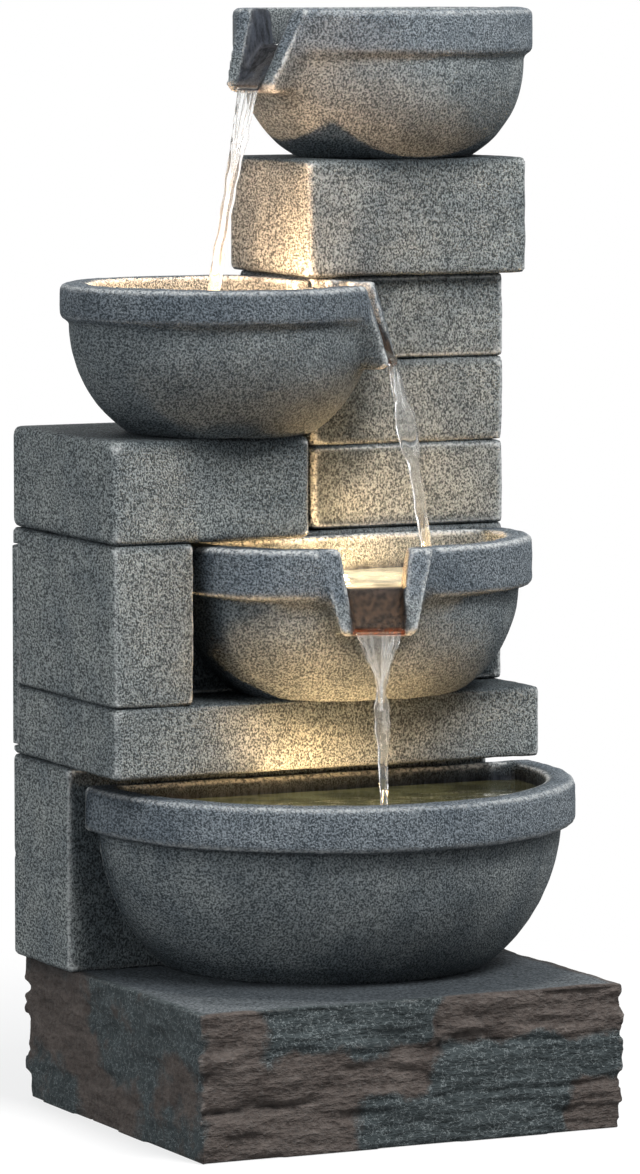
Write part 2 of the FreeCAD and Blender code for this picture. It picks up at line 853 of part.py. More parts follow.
def make_pump_strainer():
    """Slotted intake cover that pulls off the volute's end."""
    half = pump_width / 2
    right = volute_left - strainer_gap
    left = right - strainer_length
    top = pump_base + pump_height
    inset = 2 * strainer_wall
    cover = rounded((left, riser.y - half, pump_base), (right, riser.y + half, top), pump_round)
    hollow = span(
        (left + strainer_wall, riser.y - half + inset, pump_base + inset),
        (right + overcut, riser.y + half - inset, top - inset),
    )
    cover = cover.cut(hollow)
    slots = int((pump_height - 2 * strainer_slot_pitch) / strainer_slot_pitch)
    start = shaft_height - (slots - 1) * strainer_slot_pitch / 2 - strainer_slot / 2
    for i in range(slots):
        z = start + i * strainer_slot_pitch
        cover = cover.cut(span(
            (left + inset, riser.y - half - overcut, z),
            (right - inset, riser.y + half + overcut, z + strainer_slot),
        ))
    inside = on_shaft(left + strainer_wall + overcut)
    return cover.cut(drum(dial_stem_radius + shaft_gap, on_shaft(left - overcut), inside))


def make_pump_dial():
    """Flow-control knob on the strainer's end, with a finger bar and a stem."""
    face = volute_left - strainer_gap - strainer_length - strainer_gap
    front = face - dial_thickness
    knob = drum(dial_radius, on_shaft(front), on_shaft(face))
    half = dial_radius - dial_grip_inset
    grip = span(
        (front - dial_grip_height, riser.y - dial_grip_width / 2, shaft_height - half),
        (front, riser.y + dial_grip_width / 2, shaft_height + half),
    )
    stem = drum(dial_stem_radius, on_shaft(face), on_shaft(face + strainer_wall + 2 * strainer_gap))
    return knob.fuse(grip).fuse(stem)


def make_pump_suction_cups():
    """Four rubber feet under the pump."""
    cups = []
    floor = pump_base - cup_height
    for x in (pump_left + cup_inset, pump_left + pump_length - cup_inset):
        for y in (riser.y - pump_width / 2 + cup_inset, riser.y + pump_width / 2 - cup_inset):
            skirt = Part.makeCone(cup_radius, cup_stem_radius, cup_height / 2, Vector(x, y, floor))
            stem = drum(cup_stem_radius, Vector(x, y, floor + cup_height / 2), Vector(x, y, pump_base))
            cups.append(skirt.fuse(stem))
    return Part.makeCompound(cups)


def light_seat(bowl_seat, place):
    """Centre of a light's underside on a bowl's floor."""
    return bowl_seat + Vector(place[0], place[1], bowl_floor)


def make_light_body(seat):
    """Round potted housing with a recess for its lens."""
    top = seat + Vector(0, 0, light_height)
    body = drum(light_radius, seat, top)
    seat_level = top - Vector(0, 0, light_lens_seat)
    recess = drum(light_radius - light_wall, seat_level, top + Vector(0, 0, overcut))
    return body.cut(recess)


def make_light_lens(seat):
    """Shallow domed lens in the housing's recess."""
    base = seat + Vector(0, 0, light_height - light_lens_seat)
    radius = light_radius - light_wall
    disc = drum(radius, base, base + Vector(0, 0, light_lens_seat))
    sphere_radius = (radius ** 2 + light_lens_rise ** 2) / (2 * light_lens_rise)
    centre = base + Vector(0, 0, light_lens_seat + light_lens_rise - sphere_radius)
    dome = Part.makeSphere(sphere_radius, centre)
    column = drum(radius, base + Vector(0, 0, light_lens_seat), base + Vector(0, 0, 2 * light_lens_seat))
    return disc.fuse(dome.common(column))


def grommet_point():
    """Centre of the cable outlet on the slab's rear face."""
    return Vector(left_edge + grommet_x, body_rear, slab_bottom + grommet_rise)


def make_cable_grommet():
    """Rubber bush in the slab's rear wall."""
    outer = grommet_point()
    inner = outer - Vector(0, grommet_wall, 0)
    lip = Vector(0, grommet_flange_thickness, 0)
    bush = drum(grommet_neck, inner, outer)
    for edge in (inner - lip, outer):
        bush = bush.fuse(drum(grommet_flange, edge, edge + lip))
    return bush.cut(drum(grommet_hole, inner - lip * 2, outer + lip * 2))


def main():
    nodes = {
        "plinth": make_plinth(),
        "sump_block": make_sump_block(),
        "lower_basin": make_lower_basin(),
        "ledge_slab": make_ledge_slab(),
        "left_pillar": make_left_pillar(),
        "back_wall": make_back_wall(),
        "cap_block": make_cap_block(),
        "top_block": make_top_block(),
        "top_bowl": make_top_bowl(),
        "left_bowl": make_left_bowl(),
        "middle_bowl": make_middle_bowl(),
        "rear_door": make_rear_door(),
        "door_pegs": Part.makeCompound(peg_holes(0)),
        "riser_hose": make_riser_hose(),
        "hose_clamps": make_hose_clamps(),
        "spigot": make_spigot(),
        "spigot_gasket": make_spigot_gasket(),
        "spigot_nut": make_spigot_nut(),
        "pump_body": make_pump_body(),
        "pump_volute": make_pump_volute(),
        "pump_shaft": make_pump_shaft(),
        "pump_impeller": make_pump_impeller(),
        "pump_nozzle": make_pump_nozzle(),
        "pump_strainer": make_pump_strainer(),
        "pump_dial": make_pump_dial(),
        "pump_suction_cups": make_pump_suction_cups(),
        "cable_grommet": make_cable_grommet(),
    }
    for index, name in enumerate(("column_lower", "column_middle", "column_upper")):
        nodes[name] = make_course(index)
    lights = {
        "left_light": light_seat(left_bowl_seat, left_light),
        "middle_light": light_seat(middle_bowl_seat, middle_light),
        "basin_light": light_seat(basin_seat, basin_light),
    }
    for name, seat in lights.items():
        nodes[name + "_body"] = make_light_body(seat)
        nodes[name + "_lens"] = make_light_lens(seat)
    os.makedirs("parts", exist_ok=True)
    for name, shape in nodes.items():
        shape.exportStep(os.path.join("parts", name + ".step"))
        print(name, "valid" if shape.isValid() else "NOT VALID", len(shape.Solids), round(shape.Volume))


main()
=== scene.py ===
"""Studio scene of a four-bowl tiered fountain: cast stone, split slate, falling water and warm lights.

Metres, in the part's own frame: +Z is up and the front faces -Y.
"""
import math
from collections import namedtuple

import bmesh
import bpy
import numpy as np
from mathutils import Euler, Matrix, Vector, noise


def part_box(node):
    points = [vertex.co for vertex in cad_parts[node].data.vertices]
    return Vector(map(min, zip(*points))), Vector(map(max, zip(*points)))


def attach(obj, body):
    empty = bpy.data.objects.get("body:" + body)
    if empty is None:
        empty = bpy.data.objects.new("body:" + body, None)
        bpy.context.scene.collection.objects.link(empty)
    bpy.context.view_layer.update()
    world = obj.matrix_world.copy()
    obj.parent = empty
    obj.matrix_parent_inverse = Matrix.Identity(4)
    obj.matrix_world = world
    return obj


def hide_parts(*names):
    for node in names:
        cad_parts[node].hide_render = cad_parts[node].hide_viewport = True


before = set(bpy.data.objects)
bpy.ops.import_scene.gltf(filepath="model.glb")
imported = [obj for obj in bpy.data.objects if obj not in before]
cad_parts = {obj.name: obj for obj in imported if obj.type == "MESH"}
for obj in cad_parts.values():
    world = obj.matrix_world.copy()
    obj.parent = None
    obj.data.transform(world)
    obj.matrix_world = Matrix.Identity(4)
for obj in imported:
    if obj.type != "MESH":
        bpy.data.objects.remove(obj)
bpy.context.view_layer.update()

# Camera of the photograph: place in metres, angles in degrees, lens and sensor in millimetres
camera_place = (-2.5584, -5.2912, 1.0607)
camera_heading = 25.806
camera_pitch = 5.643
camera_lens = 200.27
camera_sensor = 36

# Spot lamp: angle of its cone in degrees, and how soft the cone's edge is
spot_angle = 120
spot_softness = 0.8

# Cast stone: size of the rebuilt faces, the share kept at the end, and height and length of the casting's
# waves, which stop short of the rear
weld_gap = 0.00001
stone_cell = 0.0028
slate_cell = 0.0026
kept_faces = 0.3
kept_slate_faces = 0.6
casting_waves = ((0.0009, 0.045), (0.0005, 0.014))
plain_rear = 0.180
plain_fade = 0.02

# Cast stone finish: size of its features, and its tints and colours
sand_size = 0.0014
sand_stretch = (1.0, 0.45, 0.75)
sand_depth = 0.0035
cloud_size = 0.05
chip_size = 0.003
streak_size = 0.004
streak_stretch = (1, 1, 0.15)
dark_cloud = (0.74, 0.77, 0.79)
pale_cloud = (1.14, 1.13, 1.10)
rim_tint = (0.86, 0.89, 0.96)
painted_shade_tint = (0.22, 0.25, 0.28)
soot_colour = (0.035, 0.040, 0.045)
worn_colour = (0.62, 0.64, 0.64)
damp_colours = ((0.005, 0.006, 0.009), (0.030, 0.035, 0.046))
rust_colours = ((0.006, 0.004, 0.003), (0.048, 0.029, 0.017))
stain_colour = (0.42, 0.105, 0.032)

# Slate finish, in the same way
leaf_size = 0.016
leaf_stretch = (0.5, 0.5, 2.0)
crumb_size = 0.0045
crumb_stretch = (0.8, 0.8, 1.3)
leaf_depth = 0.0095
patch_size = 0.030
scratch_size = 0.0075
scratch_width = 0.022
tread_size = 0.0024
brown_colours = ((0.045, 0.036, 0.032), (0.143, 0.120, 0.108))
grey_colours = ((0.026, 0.033, 0.035), (0.073, 0.089, 0.093))
scratch_colour = (0.30, 0.335, 0.34)
joint_colour = (0.010, 0.010, 0.011)
broken_colour = (0.30, 0.26, 0.235)
tread_colours = ((0.048, 0.056, 0.062), (0.222, 0.242, 0.253))
slate_painted_shade_tint = (0.26, 0.29, 0.32)

# Weathering of each kind of piece: how proud a worn edge is, how deep a dirty groove is, and the share of
# the wear on upright edges that level ones show. Then how each mark fades in
Weathering = namedtuple("Weathering", "wear_depth groove_depth level_wear")
block_weathering = Weathering(0.0011, 0.0012, 0.2)
bowl_weathering = Weathering(0.0010, 0.0014, 1.0)
slate_weathering = Weathering(0.0018, 0.0018, 0.8)
proud_passes = 4
wear_fade = (0.35, 0.9)
groove_fade = (0.3, 1.0)
level_fade = (0.35, 0.6)
# Painted shade: how it fades in with the share of sky that stone hides and with a face's downward lean, and
# how much downward faces add
painted_shade_fade = (0.0, 0.65)
underside_shade_fade = (0.1, 0.8)
underside_shade_share = 0.42

# Hidden sky for the painted shade: coarse cells that say where stone is, where a look from a face starts and
# how far it goes in cells, how often the result is smoothed, and which ways one looks
occlusion_cell = 0.008
occlusion_start = 1.5
occlusion_steps = 20
occlusion_passes = 12
occlusion_leans = ((0, 0, 1.0), (0, 0, 2.2), (0.9, 0, 0.7), (-0.9, 0, 0.7), (0, -0.9, 0.7), (0, 0.9, 0.7))

# Bowls and spouts, as the part's source has them
Spout = namedtuple("Spout", "angle reach width lip_width")
top_spout = Spout(-78, 0.019, 0.058, 0.030)
left_spout = Spout(58, 0.013, 0.062, 0.040)
middle_spout = Spout(-17, 0.020, 0.063, 0.041)
spout_sill = 0.036
spout_drop = 0.076
spout_lip = 0.005
rim_wall = 0.027
bowl_wall = 0.013
bowl_floor = 0.014
belly_bulge = 0.016
top_radius = 0.138
left_radius = 0.1445
middle_ratio = 0.135 / 0.171
middle_straight = 0.029

# How each bowl is weathered and lit: rust in its chute, damp on the chute's walls, extra painted shade on all
# of its stone, and glow of its water
Look = namedtuple("Look", "rust damp grime glow")
top_look = Look(0.1, 1.0, 0.0, 0.0)
left_look = Look(1.0, 0.1, 0.3, 0.35)
middle_look = Look(1.0, 0.3, 0.0, 1.0)
basin_look = Look(0.0, 0.0, 0.0, 0.20)

# Where the marks on a bowl fade, in metres from the face, edge or level that each goes by
hollow_fade = (0.003, 0.007)
floor_fade = (-0.004, -0.001)
tide_fade = (0.002, 0.012)
rim_fade = (-0.003, 0.003)
channel_side_fade = (0.001, 0.004)
channel_start_fade = (-0.04, -0.02)
channel_lip_fade = (-0.006, 0)
chute_fade = (0.004, 0.016)
rust_start_fade = (-0.01, 0.01)
stain_height = 0.002
stain_fade = (0.0, 0.004)
stain_start_fade = (-0.010, -0.005)

# Inner corners of a spout's cheeks: where they are rounded, and how much
cheek_side_fade = (0.004, 0.008)
cheek_reach_fade = (0.07, 0.09)
cheek_start_fade = (-0.05, -0.03)
cheek_rim_fade = (0.008, 0.014)
cheek_share = 0.9
cheek_passes = 45

# Water: its depth on a sill and at a lip, its level in the basin, and how far it reaches into the stone
water_over_sill = 0.004
lip_film = 0.0008
basin_freeboard = 0.016
water_skin = 0.0025

# Pool faces: calm waves, and the rings and the mound that a landing stream makes
calm_height = 0.0005
calm_pitch = 45
ring_height = 0.0013
ring_pitch = 420
ring_reach = 0.045
mound_height = 0.0030
mound_radius = 0.007
landings = {"left": (-0.0747, 0.0747), "middle": (0.0825, -0.0590), "basin": (-0.0070, -0.1470)}

# Water on a spout: where it starts and ends, how it bends at the brink, and its streaks
overflow_start = 0.004
overflow_end = 0.0006
brink_bend = 0.004
thinning_fade = (-0.006, 0.016)
streak_height = 0.0003
streak_fade = (-0.004, 0.010)

# Glow of lit water: how far from the lens it reaches, and where it fades below the face and at the brink
glow_reach = 0.20
glow_depth_fade = (-0.004, -0.002)
glow_brink_fade = (-0.002, 0.002)
pool_glow = (1.0, 0.83, 0.52)
basin_glow = (0.60, 0.56, 0.24)

# Falling water: the bowls that each stream joins and how steeply it leaves the lip, then where it leaves the
# lip, how thick its core and flanks are, and how rough and unsteady it is
stream_falls = (("top", "left", 0.85), ("left", "middle", 0.65), ("middle", "basin", 0.75))
stream_start = 0.003
stream_core = 0.45
stream_flank = 0.75
stream_sway = 0.0010
stream_roughness = 0.2

# Slate relief of the plinth's sides: shelves of thin leaves, less on grey stones and on the left side, with
# strata, crumbs and joints
shelf_relief = 0.0050
shelf_length = 0.070
shelf_height = 0.026
shelf_waves = ((1.0, 1.0), (0.5, 0.45))
shelf_steps = 2.5
shelf_sharpness = 0.6
shelf_level = 0.30
grey_relief = 0.55
rust_relief = 0.45
calm_left_side = 0.5
strata_relief = 0.0014
strata_length = 0.034
strata_stretch = (1, 1, 4.0)
crumble_relief = 0.0009
crumble_length = 0.011
crumble_stretch = (1, 1, 2.2)
joint_depth = 0.0032
bed_joint_fade = (0.0, 0.10)
upright_joint_fade = (0.0, 0.012)
upright_joint_share = 0.6
joint_break_fade = (-0.45, 0.15)
joint_break_length = 0.06

# Height and length of the waves in the slate's joints, in the borders of its colours and on its top, and how
# often those borders are smoothed
joint_waves = ((0.02, 0.04), (0.008, 0.012))
colour_waves = ((0.07, 0.05), (0.03, 0.016))
top_waves = ((0.0006, 0.018), (0.0011, 0.05))
rust_passes = 20

# Where the plinth's sides and top begin and end, by their lean and in metres
shell_fade = (0.008, 0.011)
side_lean_fade = (0.55, 0.85)
side_foot_fade = (0.001, 0.006)
top_lean_fade = (0.75, 0.95)
top_fade = (-0.012, -0.006)
tread_fade = (0.006, 0.014)

# Slate courses, bottom first: where each stone ends along its side, and how rusty it is
slate_rows = {
    "front": (
        ((0.35, 0.80), (0.86, 0.05), (1.0, 0.90)),
        ((0.54, 0.95), (1.0, 0.08)),
        ((0.17, 0.85), (0.55, 0.05), (1.0, 1.00)),
    ),
    "right": (
        ((0.28, 0.85), (0.70, 0.15), (1.0, 0.75)),
        ((0.46, 0.10), (1.0, 0.90)),
        ((0.22, 0.95), (0.64, 0.70), (1.0, 0.10)),
    ),
    "rear": (
        ((0.40, 0.20), (0.80, 0.85), (1.0, 0.10)),
        ((0.30, 0.90), (0.66, 0.15), (1.0, 0.80)),
        ((0.52, 0.10), (1.0, 0.85)),
    ),
    "left": (
        ((0.30, 0.35), (0.62, 0.75), (1.0, 0.45)),
        ((0.44, 0.75), (0.75, 0.30), (1.0, 0.65)),
        ((0.36, 0.70), (0.72, 0.35), (1.0, 0.10)),
    ),
}


class Signal:
    """A node's output. Arithmetic on it adds Math nodes."""

    def __init__(self, finish, socket):
        self.finish = finish
        self.socket = socket

    def combined(self, operation, first, second):
        return self.finish.node("ShaderNodeMath", {"operation": operation}, {0: first, 1: second})

    def __add__(self, other):
        return self.combined("ADD", self, other)

    def __radd__(self, other):
        return self.combined("ADD", other, self)

    def __sub__(self, other):
        return self.combined("SUBTRACT", self, other)

    def __rsub__(self, other):
        return self.combined("SUBTRACT", other, self)

    def __mul__(self, other):
        return self.combined("MULTIPLY", self, other)

    def __rmul__(self, other):
        return self.combined("MULTIPLY", other, self)

    def size(self):
        """The value without its sign."""
        return self.combined("ABSOLUTE", self, 0.0)


class Finish:
    """A node tree, with short ways to add the nodes that the finishes here share."""

    def __init__(self, tree):
        self.tree = tree

    def node(self, kind, settings, sockets, output=0):
        """Add a node, set it up, feed its sockets, and give one of its outputs."""
        made = self.tree.nodes.new(kind)
        for key, value in settings.items():
            if key == "stops":
                self.fill_ramp(made.color_ramp, value)
            else:
                setattr(made, key, value)
        self.feed(made, sockets)
        return Signal(self, made.outputs[output])

    def feed(self, made, sockets):
        """Set or link a node's inputs."""
        for key, value in sockets.items():
            if isinstance(value, Signal):
                self.tree.links.new(value.socket, made.inputs[key])
            else:
                made.inputs[key].default_value = value

    def fill_ramp(self, ramp, stops):
        """Give a ramp its stops, each a place and a grey or a colour."""
        while len(ramp.elements) < len(stops):
            ramp.elements.new(0.5)
        for element, (place, shade) in zip(ramp.elements, stops):
            element.position = place
            element.color = (shade, shade, shade, 1) if isinstance(shade, float) else (*shade, 1)

    def place(self, stretch):
        """Position on the piece, in metres, stretched along each axis."""
        spot = self.node("ShaderNodeTexCoord", {}, {}, "Object")
        return self.node("ShaderNodeVectorMath", {"operation": "MULTIPLY"}, {0: spot, 1: stretch})

    def grain(self, size, detail, roughness, stretch=(1, 1, 1)):
        """Soft random variation with features of about the given size."""
        sockets = {"Vector": self.place(stretch), "Scale": 1 / size, "Detail": detail, "Roughness": roughness}
        return self.node("ShaderNodeTexNoise", {}, sockets)

    def pits(self, size):
        """Distance to the nearest of many scattered points."""
        return self.node("ShaderNodeTexVoronoi", {}, {"Vector": self.place((1, 1, 1)), "Scale": 1 / size})

    def ramp(self, value, *stops):
        return self.node("ShaderNodeValToRGB", {"stops": stops}, {0: value})

    def mix(self, factor, first, second, blend="MIX"):
        """Blend two colours."""
        first, second = (c if isinstance(c, Signal) else (*c, 1) for c in (first, second))
        settings = {"data_type": "RGBA", "blend_type": blend, "clamp_factor": True}
        return self.node("ShaderNodeMix", settings, {0: factor, 6: first, 7: second}, 2)

    def tinted(self, share, colour, tint):
        """A colour multiplied by a tint, by the given share."""
        return self.mix(share, colour, self.mix(1.0, colour, tint, "MULTIPLY"))

    def mark(self, name):
        """A mark worked out on the mesh, from 0 to 1."""
        return self.node("ShaderNodeAttribute", {"attribute_name": name}, {}, "Fac")

    def bump(self, height, depth, strength=1.0):
        """Relief of the given depth in metres."""
        return self.node("ShaderNodeBump", {}, {"Height": height, "Distance": depth, "Strength": strength})


def surface(name, constants, build, *colours):
    """Material whose Principled shader has some constants, and sockets that build feeds from the colours."""
    material = bpy.data.materials.new(name)
    material.use_nodes = True
    finish = Finish(material.node_tree)
    shader = material.node_tree.nodes["Principled BSDF"]
    finish.feed(shader, constants)
    finish.feed(shader, build(finish, *colours))
    return material


def stone_sockets(finish, dark, light):
    """Sandy cast stone: pale and dark grains, blue rims, painted shade, worn edges and wet, rusty chutes."""
    sand = finish.grain(sand_size, 2.0, 0.6, sand_stretch)
    speck = finish.ramp(sand, (0.40, 0.0), (0.62, 1.0))
    colour = finish.mix(speck, dark, light)
    cloud = finish.ramp(finish.grain(cloud_size, 4, 0.6), (0.34, dark_cloud), (0.66, pale_cloud))
    colour = finish.mix(1.0, colour, cloud, "MULTIPLY")
    colour = finish.tinted(finish.mark("rim"), colour, rim_tint)
    # Painted shade: darker where stone hides the sky, on faces turned down, and over a whole darker bowl
    colour = finish.tinted(finish.mark("shelter") * 0.86, colour, painted_shade_tint)
    colour = finish.mix(finish.mark("groove") * 0.75, colour, soot_colour)
    chips = finish.ramp(finish.grain(chip_size, 2, 0.6), (0.38, 0.15), (0.58, 1.0))
    wear = finish.mark("wear")
    colour = finish.mix(wear * wear * chips, colour, worn_colour)
    wet = finish.mark("wet")
    streaks = finish.grain(streak_size, 3, 0.6, streak_stretch)
    streaks = finish.ramp(streaks, (0.38, 0.0), (0.62, 1.0))
    colour = finish.mix(wet * 0.96, colour, finish.mix(streaks, *damp_colours))
    colour = finish.mix(finish.mark("rust") * 0.95, colour, finish.mix(streaks, *rust_colours))
    colour = finish.mix(finish.mark("stain") * chips, colour, stain_colour)
    return {
        "Base Color": colour,
        "Roughness": 0.88 - wet * 0.3 - speck * 0.06,
        "Normal": finish.bump(sand * (1 - wet), sand_depth),
    }


def slate_sockets(finish):
    """Split slate: rusty and grey stones in thin leaves, with pale broken edges."""
    leaves = finish.grain(leaf_size, 5, 0.6, leaf_stretch)
    crumbs = finish.grain(crumb_size, 3, 0.6, crumb_stretch)
    height = leaves * 0.6 + crumbs * 0.4
    broken = finish.ramp(height, (0.36, 0.0), (0.66, 1.0))
    patch = finish.grain(patch_size, 4, 0.65)
    rusted = finish.ramp(finish.mark("rust") + patch * 1.2 - 0.6, (0.38, 0.0), (0.62, 1.0))
    colour = finish.mix(rusted, finish.mix(broken, *grey_colours), finish.mix(broken, *brown_colours))
    wander = finish.grain(scratch_size, 3, 0.6)
    scratch = finish.ramp((wander - 0.5).size(), (0.0, 1.0), (scratch_width, 0.0))
    colour = finish.mix(scratch * (0.62 - rusted * 0.52), colour, scratch_colour)
    colour = finish.mix(finish.mark("groove") * 0.85, colour, joint_colour)
    chips = finish.ramp(crumbs, (0.42, 0.0), (0.62, 1.0))
    colour = finish.mix(finish.mark("wear") * 0.5 * chips, colour, broken_colour)
    grit = finish.ramp(finish.grain(tread_size, 2.0, 0.6), (0.36, 0.0), (0.66, 1.0))
    colour = finish.mix(finish.mark("tread"), colour, finish.mix(grit, *tread_colours))
    # Painted shade: darker where stone hides the sky and on faces turned down
    colour = finish.tinted(finish.mark("shelter") * 0.85, colour, slate_painted_shade_tint)
    return {
        "Base Color": colour,
        "Roughness": 0.9 - height * 0.12,
        "Normal": finish.bump(height, leaf_depth),
    }


def moulded_sockets(finish, colour):
    """Moulded plastic or rubber with a fine even texture and a little dust."""
    texture = finish.grain(0.0008, 2, 0.5)
    dust = finish.ramp(finish.grain(0.02, 3, 0.6), (0.40, 0.0), (0.75, 1.0))
    paler = tuple(min(1.0, 1.5 * c + 0.01) for c in colour)
    return {
        "Base Color": finish.mix(dust * 0.6, colour, paler),
        "Roughness": 0.42 + dust * 0.2,
        "Normal": finish.bump(texture, 0.0002, 0.5),
    }


def steel_sockets(finish):
    """Brushed steel band."""
    brushed = finish.grain(0.0006, 2, 0.5, (0.1, 0.1, 1))
    return {
        "Base Color": finish.mix(brushed, (0.50, 0.51, 0.52), (0.68, 0.68, 0.69)),
        "Roughness": 0.22 + brushed * 0.2,
        "Normal": finish.bump(brushed, 0.0001, 0.4),
    }


def ceramic_sockets(finish):
    """Ground white ceramic."""
    ground = finish.grain(0.001, 2, 0.5)
    return {
        "Base Color": finish.mix(ground, (0.70, 0.69, 0.66), (0.80, 0.79, 0.77)),
        "Roughness": 0.22 + ground * 0.1,
    }


def lens_sockets(finish):
    """Warm glowing lens, brighter towards its middle grains."""
    cells = finish.pits(0.004)
    return {
        "Base Color": finish.mix(cells, (0.95, 0.85, 0.62), (0.90, 0.72, 0.42)),
        "Emission Color": finish.mix(cells, (1.0, 0.78, 0.42), (1.0, 0.62, 0.26)),
    }


def water_sockets(finish):
    """Clear water with the faintest surface tremble."""
    tremble = finish.grain(0.009, 1, 0.5)
    return {"Normal": finish.bump(tremble, 0.0006, 0.3)}


def lit_water_sockets(finish, tint):
    """Water that a light shines up through, in drifting patches."""
    drift = finish.ramp(finish.grain(0.03, 2, 0.5), (0.36, 0.45), (0.58, 1.0))
    glow = finish.mix(finish.mark("glow") * drift, (0, 0, 0), tint)
    return {**water_sockets(finish), "Emission Color": glow}


water_body = {"Roughness": 0.02, "IOR": 1.33, "Transmission Weight": 1.0, "Emission Strength": 1.0}
clear_water = {**water_body, "Base Color": (0.97, 0.99, 0.985, 1)}
thin_water = {**clear_water, "Base Color": (0.60, 0.54, 0.47, 1), "IOR": 1.15}
green_water = {**water_body, "Base Color": (0.84, 0.92, 0.72, 1)}
airy_water = {
    "Base Color": (0.96, 0.97, 0.97, 1), "Roughness": 0.04, "IOR": 1.33, "Transmission Weight": 0.97,
}
stone_gloss = {"Specular IOR Level": 0.12}
slate_gloss = {"Specular IOR Level": 0.15}
lens_light = {"Emission Strength": 3.0, "Roughness": 0.25}
recipes = {
    "bowl_stone": (stone_gloss, stone_sockets, (0.066, 0.078, 0.084), (0.340, 0.371, 0.383)),
    "block_stone": (stone_gloss, stone_sockets, (0.058, 0.067, 0.070), (0.392, 0.423, 0.425)),
    "door_panel": (stone_gloss, stone_sockets, (0.056, 0.065, 0.068), (0.380, 0.411, 0.415)),
    "slate": (slate_gloss, slate_sockets),
    "steel": ({"Metallic": 1.0}, steel_sockets),
    "hose": ({}, moulded_sockets, (0.035, 0.036, 0.038)),
    "fitting": ({}, moulded_sockets, (0.028, 0.028, 0.030)),
    "rubber": ({}, moulded_sockets, (0.018, 0.018, 0.018)),
    "pump_case": ({}, moulded_sockets, (0.022, 0.024, 0.028)),
    "shaft": ({}, ceramic_sockets),
    "rotor": ({}, moulded_sockets, (0.05, 0.12, 0.26)),
    "dial": ({}, moulded_sockets, (0.10, 0.11, 0.12)),
    "light_case": ({}, moulded_sockets, (0.03, 0.03, 0.032)),
    "light_lens": (lens_light, lens_sockets),
    "water": (clear_water, lit_water_sockets, pool_glow),
    "basin_water": (green_water, lit_water_sockets, basin_glow),
    "film": (thin_water, lit_water_sockets, pool_glow),
    "falling_water": (airy_water, water_sockets),
}
finishes = {name: surface(name, *recipe) for name, recipe in recipes.items()}


def rows_of(items, key, width, kind=np.float32):
    """One property of many mesh items, as rows of numbers."""
    flat = np.empty(len(items) * width, kind)
    items.foreach_get(key, flat)
    return flat.reshape(-1, width)


def points_of(mesh):
    return rows_of(mesh.vertices, "co", 3)


def normals_of(mesh):
    return rows_of(mesh.vertex_normals, "vector", 3)


def edges_of(mesh):
    return rows_of(mesh.edges, "vertices", 2, np.int32)


def swell(points, length):
    """Smooth repeatable unevenness with waves of the given length, about -1 to 1."""
    return np.array([noise.noise(Vector(p)) for p in points / length])


def waves(points, sizes):
    """Swells of several heights and lengths together."""
    return sum(height * swell(points, length) for height, length in sizes)


def between(low, high, values):
    """Smooth step from 0 at low to 1 at high."""
    t = np.clip((values - low) / (high - low), 0, 1)
    return t * t * (3 - 2 * t)


def shown(name, mesh, finish):
    """New piece of the fountain in the scene."""
    piece = bpy.data.objects.new(name, mesh)
    bpy.context.scene.collection.objects.link(piece)
    mesh.materials.clear()
    mesh.materials.append(finishes[finish])
    return piece


def settled(piece):
    """Replace a piece's mesh by what its modifiers make of it."""
    graph = bpy.context.evaluated_depsgraph_get()
    made = bpy.data.meshes.new_from_object(piece.evaluated_get(graph), depsgraph=graph)
    piece.modifiers.clear()
    piece.data = made


def fine_copy(node, finish):
    """A node's form rebuilt in small even faces, its edges a little softened."""
    piece = shown(node + "_cast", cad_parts[node].data.copy(), finish)
    weld = piece.modifiers.new("weld", "WELD")
    weld.merge_threshold = weld_gap
    cells = piece.modifiers.new("cells", "REMESH")
    cells.mode = "VOXEL"
    cells.voxel_size = slate_cell if finish == "slate" else stone_cell
    soft = piece.modifiers.new("soft", "SMOOTH")
    soft.factor = 0.5
    soft.iterations = 1
    settled(piece)
    return piece


def neighbour_mean(edges, values):
    """Mean of each point's neighbours' values."""
    first, second = edges.T
    count = np.bincount(edges.ravel(), minlength=len(values))[:, None]
    total = np.empty_like(values)
    for column in range(values.shape[1]):
        weight = values[:, column]
        total[:, column] = np.bincount(first, weight[second], len(values))
        total[:, column] += np.bincount(second, weight[first], len(values))
    return total / np.maximum(count, 1)


def smoothed(edges, values, passes):
    """Values after each point has taken its neighbours' mean a number of times."""
    for _ in range(passes):
        values = neighbour_mean(edges, values)
    return values


def proudness(mesh, points, passes):
    """How far each point stands proud of its surroundings: above 0 on edges, below 0 in grooves."""
    edges = edges_of(mesh)
    around = smoothed(edges, points, passes)
    proud = ((points - around) * normals_of(mesh)).sum(1, keepdims=True)
    return neighbour_mean(edges, proud)[:, 0]


def filled_corners(mesh, points, share, passes):
    """Round the inner corners: points below their neighbours' mean move to it, by their share."""
    edges = edges_of(mesh)
    normals = normals_of(mesh)
    for _ in range(passes):
        move = neighbour_mean(edges, points) - points
        hollow = (move * normals).sum(1) > 0
        points = points + move * (share * hollow)[:, None]
    return points


